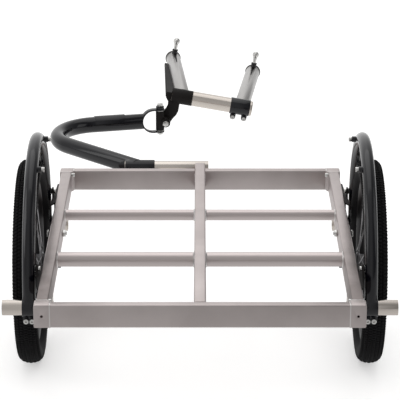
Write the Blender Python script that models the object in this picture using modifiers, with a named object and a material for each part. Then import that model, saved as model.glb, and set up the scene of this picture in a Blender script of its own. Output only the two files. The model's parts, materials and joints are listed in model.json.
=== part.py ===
"""A flatbed bicycle trailer: an aluminium bed on two wheels, each under a tubular guard hoop, and a bent
drawbar that ends in a swivelling two-armed hitch yoke.

Metres, +Z up, +Y towards the bicycle, +X to the right. The bed is first laid out about its own centre
with the ground at Z = 0, and at the end the whole trailer is moved so that the middle of its plan
stands on the origin.
"""

import math

import bmesh
import bpy
from mathutils import Matrix, Vector

# Clearances
GAP = 0.0003  # between pieces that touch
RUNNING = 0.0003  # between a shaft and what turns on it
TUBE_WALL = 0.002
BITE = 0.001  # how far a piece reaches into the one it is joined to
PAST = 0.010  # how far a cutter runs past what it cuts
FLUSH = 0.0004  # between faces that would otherwise lie in one plane
SIDES = 16  # facets round a tube
WHEEL_SIDES = 40

# Wheels
WHEEL_RADIUS = 0.206
TYRE_WIDTH = 0.0482
TYRE_HEIGHT = 0.041
TYRE_BULGE = 0.018  # its widest place outside the rim's edge
TYRE_SHOULDERS = ((0.010, 0.94), (0.0035, 0.66), (0.0, 0.18))  # depth below the crown, share of half width
TYRE_CROWN_THICKNESS = 0.006
TYRE_FOOT_RISE = 0.002
TYRE_HOLLOW_RISE = 0.003  # its hollow starts outside the rim's edge
BEAD_DEPTH = 0.004  # the bead below the rim's edge and inside the rim's side
RIM_WIDTH = 0.026
RIM_DEPTH = 0.017
RIM_WELL_DEPTH = 0.0075
RIM_LIP = 0.0018
RIM_FLANGE = 0.004
RIM_NOSE = 0.006  # half the width of its inner face
WHEEL_BESIDE_BED = 0.0342  # middle of the tyre from the bed's side
HUB_WIDTH = 0.0654
HUB_RADIUS = 0.014
FLANGE_RADIUS = 0.024
FLANGE_SPACING = 0.044
FLANGE_WIDTH = 0.003
HUB_WAIST = 0.001  # how much thinner the hub is between its flanges
HUB_SLOPE = 0.002
HUB_BORE_CLEARANCE = 0.001
SPOKE_COUNT = 20
SPOKE_RADIUS = 0.0012
SPOKE_LEAD = 50.0  # how far round the hub a spoke starts from where it ends
SPOKE_INSET = 0.004  # its inner end below the flange's edge
SPOKE_STAGGER = 0.003  # its outer end from the rim's middle
AXLE_RADIUS = 0.006
BEARING_RADIUS = 0.0110
BEARING_WIDTH = 0.007

# Bed
DECK_ABOVE_AXLE = 0.064
BED_WIDTH = 0.609
BED_LENGTH = 0.813
RAIL_HEIGHT = 0.0445
RAIL_WALL = 0.0025
RAIL_EDGE = 0.0028  # radius of a rail's long edges
SIDE_RAIL_WIDTH = 0.0222
SIDE_RAIL_INSET = 0.0031  # the side rail's outer face from the corner block's
CORNER_WIDTH = 0.0294
CORNER_DEPTH = 0.027
CORNER_HOLE_RADIUS = 0.0025
CORNER_HOLE_DEPTH = 0.018
CROSS_RAIL_DEPTH = 0.019
BEAM_WIDTH = 0.0222
BEAM_HEIGHT = 0.038
BEAM_SETBACK = 0.003  # its front end behind the mount tube's axis
CROSS_TUBE_OUT = 0.127  # a cross tube's axis from the bed's middle
REAR_TUBE_DIAMETER = 0.0286
FRONT_TUBE_DIAMETER = 0.0222

# Guard hoops and the tubes that hold them
HOOP_RADIUS = 0.240
HOOP_RISE = 0.0065  # the middle of a hoop's curve above the axle
HOOP_DIAMETER = 0.025
HOOP_BESIDE_BED = 0.0215
HOOP_STEPS = 24
VENT_RADIUS = 0.003
VENT_ANGLE = 12.0
STUB_DIAMETER = 0.0300
STUB_DROP = 0.0065  # a stub tube's axis below the axle
STUB_INSET = 0.0245  # its inner end inside the bed's side
STUB_REACH = 0.0730  # its outer end beyond the bed's side
SADDLE_LENGTH = 0.024
HOOP_CLAMP_DIAMETER = 0.0364
HOOP_CLAMP_LENGTH = 0.026
EAR_BOLT_DROP = 0.006  # a pinch bolt's axis below its clamp's sleeve
EAR_RADIUS = 0.0065
EAR_THICKNESS = 0.007  # of each ear
CLAMP_SLIT = 0.0025
PINCH_BOLT_RADIUS = 0.0025
PINCH_HEAD_RADIUS = 0.0050
PINCH_HEAD_HEIGHT = 0.005
PINCH_NUT_HEIGHT = 0.004
HOOP_PINCH_SPACING = 0.0116
BOSS_ANGLES = (15.3, 65.5, 114.5, 164.7)
BOSS_RADIUS = 0.006
HIGH_BOSS_LENGTH = 0.009
LOW_BOSS_LENGTH = 0.002
SCREW_RADIUS = 0.003
SCREW_HEAD_RADIUS = 0.0048
SCREW_HEAD_HEIGHT = 0.0035
STAY_THICKNESS = 0.003
STAY_SINK = 0.004  # the top of a stay's web below the deck
STAY_TAB_RADIUS = 0.0085
STAY_TAB_FOOT = 0.024
STAY_RAIL_SPAN = (-0.046, 0.078)  # along the rail from the screw, towards the trailer's end
STAY_HOOP_SPAN = (-0.062, 0.014)  # and along the hoop's side
STAY_FLANGE_DEPTH = 0.016
STAY_FLANGE_TIP = 0.004

# Axle carriers
CARRIER_DIAMETER = 0.030
CARRIER_PLATE = 0.0045
CARRIER_EYE_RADIUS = 0.021
CARRIER_BOLT_AHEAD = 0.046
CARRIER_BOLT_EYE = 0.015
CARRIER_BOLT_RADIUS = 0.004
NUT_RADIUS = 0.0075
NUT_HEIGHT = 0.0065
AXLE_NUT_RADIUS = 0.0105
AXLE_NUT_HEIGHT = 0.008
AXLE_HEAD_WIDTH = 0.006
CARRIER_HEAD_HEIGHT = 0.0035
BOLT_END = 0.0025  # of a bolt beyond its nut

# Drawbar and the tube it is clamped to
MOUNT_AHEAD = 0.0445  # the mount tube's axis from the bed's front edge
MOUNT_DIAMETER = 0.0286
MOUNT_PROUD = 0.0015  # its top above the deck
MOUNT_LEFT = -0.1655
MOUNT_RIGHT = 0.0185
GUSSET_WIDTH = 0.060
GUSSET_THICKNESS = 0.006
GUSSET_X = -0.060
DRAWBAR_DIAMETER = 0.0368
DRAWBAR_CLAMP_DIAMETER = 0.0335
DRAWBAR_CLAMP_LENGTH = 0.0645
DRAWBAR_FOOT_X = -0.139
DRAWBAR_LEG_ANGLE = 135.0
DRAWBAR_END_ANGLE = 13.3
DRAWBAR_CORNER = (-0.4246, 0.2849)  # where the two legs' lines meet, from the mount tube's axis
DRAWBAR_BEND_RADIUS = 0.100
DRAWBAR_END_LENGTH = 0.2935  # from that corner to the back of the strap
DRAWBAR_LIPS = 0.0060  # how far its coped end reaches round the strap
DRAWBAR_PINCH_SPACING = 0.036

# Hitch: a strap welded to the drawbar carries the kingpin, and the yoke rolls on a bolt behind it
STRAP_HEIGHT = 0.057
STRAP_THICKNESS = 0.0032
STRAP_WIDTH = 0.0155
STRAP_EYE_RADIUS = 0.0105
KINGPIN_AHEAD = 0.0456  # the kingpin's axis from the back of the strap
KINGPIN_RADIUS = 0.0045
KINGPIN_HEAD_RADIUS = 0.0074
KINGPIN_HEAD_HEIGHT = 0.0055
KINGPIN_NUT_HEIGHT = 0.0045
KINGPIN_END = 0.0015  # of the pin below its nut
COLLAR_RADIUS = 0.0095
COLLAR_HEIGHT = 0.006
WASHER_RADIUS = 0.0095
WASHER_THICKNESS = 0.0015
BARREL_RADIUS = 0.0100
YAW_AT_REST = -0.7
ROLL_OUT = 0.014  # the roll bolt's axis beside the kingpin's
ROLL_DROP = 0.0042
LUG_RADIUS = 0.0105
LUG_LENGTH = 0.023
ROLL_BOLT_RADIUS = 0.004
ROLL_HEAD_RADIUS = 0.0075
ROLL_HEAD_HEIGHT = 0.006
ROLL_NUT_HEIGHT = 0.0065
ROLL_BOLT_END = 0.0025  # of the bolt before its nut
ROLL_AT_REST = 9.9

# Yoke, measured from the roll bolt with the crossbar level
YOKE_PLATE = 0.006
YOKE_RISE = 0.0609
CROSSBAR_AHEAD = 0.023
CROSSBAR_DIAMETER = 0.0350
SPIGOT_DIAMETER = 0.0310  # of its thinner end inside the left sleeve
CROSSBAR_END = 0.1957
LEFT_SLEEVE = (0.0028, 0.0520)
LEFT_SLEEVE_DIAMETER = 0.0358
LEFT_ARM_X = 0.0293
ARM_SPACING = 0.1409
RIGHT_CLAMP_DIAMETER = 0.0388
RIGHT_CLAMP_LENGTH = 0.0464
RIGHT_CLAMP_SHIFT = -0.0032  # its middle from its arm's axis
CAP_THICKNESS = 0.0025
CAP_PLUG = 0.0095
YOKE_PINCH_SPACING = 0.0266
ARM_DIAMETER = 0.035
ARM_LENGTH = 0.333
ARM_SPLAY = 5.35
SLOT_LENGTH = 0.094
SLOT_WIDTH = 0.0085
SLOT_ROOT_WIDTH = 0.0025
SOCKET_FLANGE_RADIUS = 0.0190
SOCKET_FLANGE_WIDTH = 0.004
SOCKET_DEPTH = 0.098
SOCKET_BORE_RADIUS = 0.008
SOCKET_BORE_DEPTH = 0.070
PIN_SETBACK = 0.012
PIN_COLLAR_RADIUS = 0.0070
PIN_COLLAR_RISE = 0.010
PIN_COLLAR_ROOT = 0.004
PIN_RADIUS = 0.003
PIN_NECK_RADIUS = 0.0045
PIN_NECK_FOOT_RADIUS = 0.0036
PIN_KNOB_RADIUS = 0.0081
PIN_KNOB_RISE = 0.031  # the knob's middle above the arm's top
GUSSET_REACH = 0.270
YOKE_GUSSET_THICKNESS = 0.005
YOKE_GUSSET_TIP = 0.0085
YOKE_PLATE_LEFT = -0.0115
YOKE_PLATE_TOP = 0.0090  # above the crossbar's axis
YOKE_PLATE_RIGHT_EDGE = ((0.0150, 0.0080), (0.0214, 0.0176), (0.0243, 0.0270), (0.0246, 0.0350))
YOKE_PLATE_LEFT_EDGE = (
    (-0.0098, 0.0560),
    (-0.0035, 0.0480),
    (-0.0025, 0.0380),
    (-0.0048, 0.0310),
    (-0.0085, 0.0240),
    (-0.0106, 0.0100),
)

# Worked out from the sizes above
AXLE_Z = WHEEL_RADIUS
DECK_Z = AXLE_Z + DECK_ABOVE_AXLE
RAIL_MIDDLE_Z = DECK_Z - RAIL_HEIGHT / 2
RAIL_BOTTOM_Z = DECK_Z - RAIL_HEIGHT
BED_SIDE = BED_WIDTH / 2
BED_END = BED_LENGTH / 2
RAIL_OUTER = BED_SIDE - SIDE_RAIL_INSET
RAIL_INNER = RAIL_OUTER - SIDE_RAIL_WIDTH
CORNER_INNER = BED_SIDE - CORNER_WIDTH
MOUNT_Y = BED_END + MOUNT_AHEAD
MOUNT_Z = DECK_Z + MOUNT_PROUD - MOUNT_DIAMETER / 2
WHEEL_OUT = BED_SIDE + WHEEL_BESIDE_BED
HOOP_OUT = BED_SIDE + HOOP_BESIDE_BED
STUB_INNER_OUT = BED_SIDE - STUB_INSET
STUB_OUTER_OUT = BED_SIDE + STUB_REACH
STUB_Z = AXLE_Z - STUB_DROP
HUB_OUTER_OUT = WHEEL_OUT + HUB_WIDTH / 2
RIM_RADIUS = WHEEL_RADIUS - TYRE_HEIGHT
RIM_INNER_RADIUS = RIM_RADIUS - RIM_DEPTH
ARM_RADIUS = ARM_DIAMETER / 2

LEFT, RIGHT = -1, 1
SIDE_NAMES = {LEFT: "left", RIGHT: "right"}
REAR, FRONT = -1, 1
END_NAMES = {REAR: "rear", FRONT: "front"}
X_AXIS, Y_AXIS, Z_AXIS = Vector((1, 0, 0)), Vector((0, 1, 0)), Vector((0, 0, 1))

MATERIALS = {
    "aluminium": ((0.62, 0.60, 0.59), 0.42, 1.0),
    "polished_aluminium": ((0.80, 0.79, 0.78), 0.18, 1.0),
    "black_paint": ((0.018, 0.018, 0.021), 0.35, 0.0),
    "bright_steel": ((0.66, 0.66, 0.66), 0.25, 1.0),
    "tyre_rubber": ((0.012, 0.012, 0.013), 0.80, 0.0),
    "rim_black": ((0.020, 0.020, 0.022), 0.40, 0.0),
    "hub_grey": ((0.30, 0.30, 0.31), 0.30, 1.0),
    "black_plastic": ((0.015, 0.015, 0.016), 0.50, 0.0),
}


def start_collection():
    """Empties the scene and returns a new collection for the trailer."""
    for old in list(bpy.data.objects):
        bpy.data.objects.remove(old)
    trailer = bpy.data.collections.new("bicycle_trailer")
    bpy.context.scene.collection.children.link(trailer)
    return trailer


COLLECTION = start_collection()


def own_material(name, kind):
    """A material of the node's own, with the colour of its kind."""
    colour, roughness, metallic = MATERIALS[kind]
    material = bpy.data.materials.new(f"{name}_{kind}")
    material.use_nodes = True
    shader = material.node_tree.nodes["Principled BSDF"]
    shader.inputs["Base Color"].default_value = (*colour, 1.0)
    shader.inputs["Roughness"].default_value = roughness
    shader.inputs["Metallic"].default_value = metallic
    material.diffuse_color = (*colour, 1.0)
    return material


# Building blocks


def new_object(name, data, matrix=None):
    """Links a mesh or curve into the trailer's collection, placed by matrix."""
    thing = bpy.data.objects.new(name, data)
    COLLECTION.objects.link(thing)
    thing.matrix_world = matrix or Matrix.Identity(4)
    bpy.context.view_layer.update()
    return thing


def frame_of(origin, x_axis, y_axis):
    """The matrix whose local X and Y run along two right-angled directions."""
    x_axis, y_axis = Vector(x_axis).normalized(), Vector(y_axis).normalized()
    z_axis = x_axis.cross(y_axis)
    turn = Matrix((x_axis, y_axis, z_axis)).transposed().to_4x4()
    return Matrix.Translation(Vector(origin)) @ turn


def aimed(origin, direction):
    """The matrix at origin whose local Z points along direction."""
    turn = Vector(direction).to_track_quat("Z", "Y").to_matrix().to_4x4()
    return Matrix.Translation(Vector(origin)) @ turn


def baked(thing):
    """The object's shape with its modifiers or curve bevel made plain mesh, closed and facing out."""
    graph = bpy.context.evaluated_depsgraph_get()
    mesh = bpy.data.meshes.new_from_object(thing.evaluated_get(graph))
    shape = bmesh.new()
    shape.from_mesh(mesh)
    bmesh.ops.remove_doubles(shape, verts=shape.verts, dist=0.00001)
    bmesh.ops.recalc_face_normals(shape, faces=shape.faces)
    shape.to_mesh(mesh)
    shape.free()
    if thing.type == "MESH":
        thing.modifiers.clear()
        thing.data = mesh
        return thing
    name, matrix = thing.name, thing.matrix_world.copy()
    bpy.data.objects.remove(thing)
    return new_object(name, mesh, matrix)


def combine(body, tool, operation):
    """Joins, cuts or intersects the body with a tool, which is used up."""
    modifier = body.modifiers.new("combine", "BOOLEAN")
    modifier.operation = operation
    modifier.object = tool
    baked(body)
    bpy.data.objects.remove(tool)
    return body


def join(body, *tools):
    for tool in tools:
        combine(body, tool, "UNION")
    return body


def cut(body, *tools):
    for tool in tools:
        combine(body, tool, "DIFFERENCE")
    return body


def mesh_from(name, shape, matrix=None):
    """An object from a bmesh, which is freed."""
    mesh = bpy.data.meshes.new(name)
    shape.to_mesh(mesh)
    shape.free()
    return new_object(name, mesh, matrix)


def block(name, low, high):
    """A box between two corners."""
    low, high = Vector(low), Vector(high)
    shape = bmesh.new()
    bmesh.ops.create_cube(shape, size=1.0)
    bmesh.ops.scale(shape, vec=high - low, verts=shape.verts)
    bmesh.ops.translate(shape, vec=(low + high) / 2, verts=shape.verts)
    return mesh_from(name, shape)


def rod(name, start, end, radius, sides=SIDES):
    """A solid cylinder, or a hexagon bar when sides is 6, between two points."""
    start, end = Vector(start), Vector(end)
    shape = bmesh.new()
    bmesh.ops.create_cone(
        shape, cap_ends=True, segments=sides, radius1=radius, radius2=radius, depth=(end - start).length
    )
    return mesh_from(name, shape, aimed((start + end) / 2, end - start))


def turned(name, profile, origin, direction, sides=SIDES, hollow=False):
    """A piece turned about a line: profile holds (radius, height) pairs down its outer side."""
    shape = bmesh.new()
    points = [shape.verts.new((radius, 0, height)) for radius, height in profile]
    for first, second in zip(points, points[1:]):
        shape.edges.new((first, second))
    if hollow:
        shape.edges.new((points[-1], points[0]))
    piece = mesh_from(name, shape, aimed(origin, direction))
    screw = piece.modifiers.new("turn", "SCREW")
    screw.steps = screw.render_steps = sides
    screw.use_merge_vertices = True
    screw.merge_threshold = 0.00001
    return baked(piece)


def pipe(name, start, end, outer, inner, sides=SIDES):
    """A tube open at both ends."""
    start, end = Vector(start), Vector(end)
    length = (end - start).length
    profile = [(outer, length), (outer, 0), (inner, 0), (inner, length)]
    return turned(name, profile, start, end - start, sides, hollow=True)


def swept(name, points, radius, bevel=6):
    """A round bar along a path of points."""
    curve = bpy.data.curves.new(name, "CURVE")
    curve.dimensions = "3D"
    curve.bevel_depth = radius
    curve.bevel_resolution = bevel
    curve.use_fill_caps = True
    path = curve.splines.new("POLY")
    path.points.add(len(points) - 1)
    for place, point in zip(path.points, points):
        place.co = (*point, 1)
    return baked(new_object(name, curve))


def slab(name, outlines, thickness, matrix):
    """A flat plate from closed outlines in the local XY plane, the inner ones being holes."""
    curve = bpy.data.curves.new(name, "CURVE")
    curve.dimensions = "2D"
    curve.fill_mode = "BOTH"
    curve.extrude = thickness / 2
    for outline in outlines:
        spline = curve.splines.new("POLY")
        spline.points.add(len(outline) - 1)
        for place, (x, y) in zip(spline.points, outline):
            place.co = (x, y, 0, 1)
        spline.use_cyclic_u = True
    return baked(new_object(name, curve, matrix))


def arc(centre, radius, start, end, steps):
    """Points along an arc, its angles in degrees, both ends included."""
    angles = [math.radians(start + (end - start) * step / steps) for step in range(steps + 1)]
    return [(centre[0] + radius * math.cos(a), centre[1] + radius * math.sin(a)) for a in angles]


def rounded_rectangle(width, height, radius, steps=3):
    x, y = width / 2 - radius, height / 2 - radius
    corners = (((x, y), 0), ((-x, y), 90), ((-x, -y), 180), ((x, -y), 270))
    return [point for centre, start in corners for point in arc(centre, radius, start, start + 90, steps)]


def link_outline(first, first_radius, second, second_radius, steps=10):
    """The outline of two eyes joined by their outer tangents."""
    run = Vector(second) - Vector(first)
    heading = math.degrees(math.atan2(run.y, run.x))
    lean = math.degrees(math.acos((first_radius - second_radius) / run.length))
    near = arc(first, first_radius, heading + lean, heading + 360 - lean, steps)
    far = arc(second, second_radius, heading - lean, heading + lean, steps)
    return near + far


def box_tube(name, width, height, length, matrix, wall=RAIL_WALL):
    """A rectangular tube with rounded long edges, its length along the local Z."""
    outer = rounded_rectangle(width, height, RAIL_EDGE)
    inner = rounded_rectangle(width - 2 * wall, height - 2 * wall, RAIL_EDGE / 3, steps=1)
    return slab(name, [outer, inner], length, matrix)


def finished(thing, kind):
    """Names the mesh, gives it its material and shades what is round smooth."""
    thing.data.name = thing.name
    thing.data.materials.clear()
    thing.data.materials.append(own_material(thing.name, kind))
    thing.data.shade_smooth()
    thing.data.set_sharp_from_angle(angle=math.radians(35))
    return thing


def pivot(name, location, parent=None, turn=(0.0, 0.0, 0.0)):
    """An empty on a joint's axis."""
    empty = bpy.data.objects.new(name, None)
    empty.empty_display_size = 0.05
    COLLECTION.objects.link(empty)
    empty.location = location
    empty.rotation_euler = turn
    empty.parent = parent
    return empty


def carry(parent, *pieces):
    """Hangs pieces that were built about the parent's own origin on it."""
    for piece in pieces:
        piece.parent = parent


# The bed


def side_rail(side):
    length = BED_LENGTH - 2 * (CORNER_DEPTH + GAP)
    middle = side * (RAIL_OUTER - SIDE_RAIL_WIDTH / 2)
    frame = frame_of((middle, 0, RAIL_MIDDLE_Z), X_AXIS, Z_AXIS)
    rail = box_tube(f"side_rail_{SIDE_NAMES[side]}", SIDE_RAIL_WIDTH, RAIL_HEIGHT, length, frame)
    hole_start = (side * (RAIL_OUTER + PAST), CARRIER_BOLT_AHEAD, RAIL_MIDDLE_Z)
    hole_end = (side * (RAIL_INNER - PAST), CARRIER_BOLT_AHEAD, RAIL_MIDDLE_Z)
    cut(rail, rod("bolt_hole", hole_start, hole_end, CARRIER_BOLT_RADIUS + GAP, 16))
    return finished(rail, "aluminium")


def corner_block(end, side):
    name = f"corner_block_{END_NAMES[end]}_{SIDE_NAMES[side]}"
    middle = (side * (BED_SIDE - CORNER_WIDTH / 2), end * (BED_END - CORNER_DEPTH / 2), RAIL_MIDDLE_Z)
    frame = frame_of(middle, X_AXIS, Z_AXIS)
    corner = slab(name, [rounded_rectangle(CORNER_WIDTH, RAIL_HEIGHT, RAIL_EDGE)], CORNER_DEPTH, frame)
    mouth = Vector((middle[0], end * (BED_END + PAST), RAIL_MIDDLE_Z))
    bottom = Vector((middle[0], end * (BED_END - CORNER_HOLE_DEPTH), RAIL_MIDDLE_Z))
    cut(corner, rod("corner_hole", mouth, bottom, CORNER_HOLE_RADIUS, 12))
    return finished(corner, "aluminium")


def cross_rail(name, end, start_x, end_x):
    middle = ((start_x + end_x) / 2, end * (BED_END - CROSS_RAIL_DEPTH / 2), RAIL_MIDDLE_Z)
    frame = frame_of(middle, Y_AXIS, Z_AXIS)
    return finished(box_tube(name, CROSS_RAIL_DEPTH, RAIL_HEIGHT, end_x - start_x, frame), "aluminium")


def centre_beam():
    """The beam under the middle of the load, coped round the tube that carries the drawbar."""
    start = -BED_END + CROSS_RAIL_DEPTH + GAP
    end = MOUNT_Y - BEAM_SETBACK
    middle = (0, (start + end) / 2, DECK_Z - BEAM_HEIGHT / 2)
    beam = box_tube("centre_beam", BEAM_WIDTH, BEAM_HEIGHT, end - start, frame_of(middle, X_AXIS, Z_AXIS))
    reach = BEAM_WIDTH
    cope = rod(
        "cope", (-reach, MOUNT_Y, MOUNT_Z), (reach, MOUNT_Y, MOUNT_Z), MOUNT_DIAMETER / 2 + GAP, SIDES * 2
    )
    return finished(cut(beam, cope), "aluminium")


def cross_tube(end, side):
    diameter = REAR_TUBE_DIAMETER if end == REAR else FRONT_TUBE_DIAMETER
    place = end * CROSS_TUBE_OUT
    height = DECK_Z - diameter / 2
    inner = (side * (BEAM_WIDTH / 2 + GAP), place, height)
    outer = (side * (RAIL_INNER - GAP), place, height)
    name = f"cross_tube_{END_NAMES[end]}_{SIDE_NAMES[side]}"
    return finished(pipe(name, inner, outer, diameter / 2, diameter / 2 - TUBE_WALL), "aluminium")


def drawbar_mount_tube():
    """The short tube across the front, with the gusset that is welded between it and the front rail."""
    start, end = (MOUNT_LEFT, MOUNT_Y, MOUNT_Z), (MOUNT_RIGHT, MOUNT_Y, MOUNT_Z)
    tube = rod("drawbar_mount_tube", start, end, MOUNT_DIAMETER / 2)
    low = (GUSSET_X - GUSSET_WIDTH / 2, BED_END + GAP, MOUNT_Z - GUSSET_THICKNESS / 2)
    high = (GUSSET_X + GUSSET_WIDTH / 2, MOUNT_Y - MOUNT_DIAMETER / 4, MOUNT_Z + GUSSET_THICKNESS / 2)
    join(tube, block("gusset", low, high))
    past = X_AXIS * PAST
    bore = rod("bore", Vector(start) - past, Vector(end) + past, MOUNT_DIAMETER / 2 - TUBE_WALL)
    return finished(cut(tube, bore), "aluminium")


def bed_pieces():
    pieces = [side_rail(side) for side in (LEFT, RIGHT)]
    pieces += [corner_block(end, side) for end in (REAR, FRONT) for side in (LEFT, RIGHT)]
    pieces += [cross_tube(end, side) for end in (REAR, FRONT) for side in (LEFT, RIGHT)]
    reach = CORNER_INNER - GAP
    beside_beam = BEAM_WIDTH / 2 + GAP
    pieces.append(cross_rail("rear_cross_rail", REAR, -reach, reach))
    pieces.append(cross_rail("front_cross_rail_left", FRONT, -reach, -beside_beam))
    pieces.append(cross_rail("front_cross_rail_right", FRONT, beside_beam, reach))
    pieces += [centre_beam(), drawbar_mount_tube()]
    return pieces


# Clamps, which the hoops, the drawbar and the yoke share


def clamp_frame(centre, axis):
    """A clamp's own frame: Z along the tube that it grips, Y down towards its ears."""
    axis = Vector(axis).normalized()
    return frame_of(centre, (-Z_AXIS).cross(axis), -Z_AXIS)


def ear_outlines(drop, spacing):
    """The ears seen from the side: one about each bolt, or one about both where they are close."""
    half, radius = spacing / 2, EAR_RADIUS
    if half < radius:
        first = arc((-half, drop), radius, 180, 90, 4)
        second = arc((half, drop), radius, 90, 0, 4)
        return [[(-half - radius, 0), *first, *second, (half + radius, 0)]]
    outlines = []
    for place in (-half, half):
        outlines.append([(place - radius, 0), *arc((place, drop), radius, 180, 0, 8), (place + radius, 0)])
    return outlines


def made_clamp(centre, axis, grip_radius, radius, length, bolt_spacing):
    """A bored sleeve along axis with ears under it, a slit between them and a pair of pinch bolts.

    The bolts' heads face the right-hand side of the axis as it is seen from above.
    """
    half = length / 2
    ear = EAR_THICKNESS + CLAMP_SLIT / 2
    drop = radius + EAR_BOLT_DROP
    sleeve = rod("clamp", (0, 0, -half), (0, 0, half), radius)
    join(sleeve, slab("ears", ear_outlines(drop, bolt_spacing), 2 * ear, frame_of((0, 0, 0), Z_AXIS, Y_AXIS)))
    cut(
        sleeve,
        rod("bore", (0, 0, -length), (0, 0, length), grip_radius + GAP),
        block("slit", (-CLAMP_SLIT / 2, 0, -length), (CLAMP_SLIT / 2, drop * 2, length)),
    )
    seat = ear - BITE
    for place in (-bolt_spacing / 2, bolt_spacing / 2):
        join(
            sleeve,
            rod("shank", (-ear, drop, place), (ear, drop, place), PINCH_BOLT_RADIUS, 8),
            rod("head", (seat, drop, place), (ear + PINCH_HEAD_HEIGHT, drop, place), PINCH_HEAD_RADIUS, 12),
            rod("nut", (-seat, drop, place), (-ear - PINCH_NUT_HEIGHT, drop, place), PINCH_HEAD_RADIUS, 6),
        )
    sleeve.matrix_world = clamp_frame(centre, axis) @ sleeve.matrix_world
    bpy.context.view_layer.update()
    return sleeve


# Guard hoops


def hoop_point(angle, radius=HOOP_RADIUS):
    """Where a hoop passes at an angle above the front horizontal."""
    turn = math.radians(angle)
    return radius * math.cos(turn), AXLE_Z + HOOP_RISE + radius * math.sin(turn)


def hoop(side):
    """A half-circle of tube over the wheel, ending in a pinch clamp on each stub tube."""
    out = side * HOOP_OUT
    curve = [(out, *hoop_point(180 * step / HOOP_STEPS)) for step in range(HOOP_STEPS + 1)]
    feet = [(out, end * HOOP_RADIUS, STUB_Z) for end in (FRONT, REAR)]
    bar = swept(f"hoop_{SIDE_NAMES[side]}", [feet[0], *curve, feet[1]], HOOP_DIAMETER / 2, bevel=4)
    for angle in BOSS_ANGLES:
        low = min(angle, 180 - angle) < 45
        boss_length = LOW_BOSS_LENGTH if low else HIGH_BOSS_LENGTH
        reach = HOOP_OUT - HOOP_DIAMETER / 2 - boss_length
        grip = reach - (STAY_THICKNESS + 2 * GAP if low else 0)
        place = hoop_point(angle)
        top = grip - SCREW_HEAD_HEIGHT
        join(
            bar,
            rod("boss", (out, *place), (side * reach, *place), BOSS_RADIUS, 10),
            rod("screw", (out, *place), (side * (grip - BITE), *place), SCREW_RADIUS, 8),
            rod("head", (side * grip, *place), (side * top, *place), SCREW_HEAD_RADIUS, 10),
        )
    cut(bar, swept("hollow", curve[1:-1], HOOP_DIAMETER / 2 - TUBE_WALL, bevel=1))
    inside = hoop_point(VENT_ANGLE, HOOP_RADIUS - HOOP_DIAMETER)
    cut(bar, rod("vent", (out, *hoop_point(VENT_ANGLE)), (out, *inside), VENT_RADIUS, 8))
    for centre in feet:
        grip, sleeve = STUB_DIAMETER / 2, HOOP_CLAMP_DIAMETER / 2
        past = X_AXIS * HOOP_CLAMP_LENGTH
        cut(bar, rod("seat", Vector(centre) - past, Vector(centre) + past, (grip + sleeve) / 2))
        join(bar, made_clamp(centre, X_AXIS, grip, sleeve, HOOP_CLAMP_LENGTH, HOOP_PINCH_SPACING))
    return finished(bar, "black_paint")


def stub_tube(end, side):
    """A polished tube welded under the side rail by a saddle, which the hoop is clamped to."""
    name = f"stub_tube_{END_NAMES[end]}_{SIDE_NAMES[side]}"
    place = end * HOOP_RADIUS
    inner = Vector((side * STUB_INNER_OUT, place, STUB_Z))
    outer = Vector((side * STUB_OUTER_OUT, place, STUB_Z))
    tube = rod(name, inner, outer, STUB_DIAMETER / 2)
    near, far = sorted((side * (RAIL_OUTER - BITE), side * (RAIL_INNER + BITE)))
    saddle = block(
        "saddle",
        (near, place - SADDLE_LENGTH / 2, STUB_Z + STUB_DIAMETER / 4),
        (far, place + SADDLE_LENGTH / 2, RAIL_BOTTOM_Z - GAP),
    )
    join(tube, saddle)
    past = X_AXIS * side * PAST
    bore = rod("bore", inner - past, outer + past, STUB_DIAMETER / 2 - TUBE_WALL)
    return finished(cut(tube, bore), "polished_aluminium")


def hoop_stay(end, side):
    """The black bracket from the side rail to a hoop's low boss: a flange, a web and an upright tab."""
    name = f"hoop_stay_{END_NAMES[end]}_{SIDE_NAMES[side]}"
    screw_y, screw_z = hoop_point(BOSS_ANGLES[0] if end == FRONT else BOSS_ANGLES[-1])
    tab_outer = HOOP_OUT - HOOP_DIAMETER / 2 - LOW_BOSS_LENGTH - GAP
    tab_inner = tab_outer - STAY_THICKNESS
    rail_face = RAIL_OUTER + GAP
    web_top = DECK_Z - STAY_SINK
    rail_near, rail_far = (screw_y + end * reach for reach in STAY_RAIL_SPAN)
    hoop_near, hoop_far = (screw_y + end * reach for reach in STAY_HOOP_SPAN)
    plan = [
        (side * (rail_face + FLUSH), rail_near),
        (side * (tab_outer - FLUSH), hoop_near),
        (side * (tab_outer - FLUSH), hoop_far),
        (side * (tab_inner - FLUSH), hoop_far),
        (side * (rail_face + STAY_THICKNESS), rail_far),
        (side * (rail_face + FLUSH), rail_far),
    ]
    stay = slab(name, [plan], STAY_THICKNESS, Matrix.Translation((0, 0, web_top - STAY_THICKNESS / 2)))
    rail_side = [
        (rail_near + end * FLUSH, web_top - FLUSH),
        (rail_near + end * FLUSH, web_top - STAY_FLANGE_DEPTH),
        (screw_y, web_top - STAY_FLANGE_DEPTH),
        (rail_far - end * FLUSH, web_top - STAY_FLANGE_TIP),
        (rail_far - end * FLUSH, web_top - FLUSH),
    ]
    foot = STAY_TAB_FOOT / 2
    hoop_side = [
        (screw_y + foot, web_top - STAY_THICKNESS + FLUSH),
        *arc((screw_y, screw_z), STAY_TAB_RADIUS, 0, 180, 8),
        (screw_y - foot, web_top - STAY_THICKNESS + FLUSH),
    ]
    for outline, inner in ((rail_side, rail_face), (hoop_side, tab_inner)):
        middle = side * (inner + STAY_THICKNESS / 2)
        join(stay, slab("side", [outline], STAY_THICKNESS, frame_of((middle, 0, 0), Y_AXIS, Z_AXIS)))
    hole = rod(
        "hole",
        (side * (tab_inner - PAST), screw_y, screw_z),
        (side * (tab_outer + PAST), screw_y, screw_z),
        SCREW_RADIUS + GAP,
        12,
    )
    return finished(cut(stay, hole), "black_paint")


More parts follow.
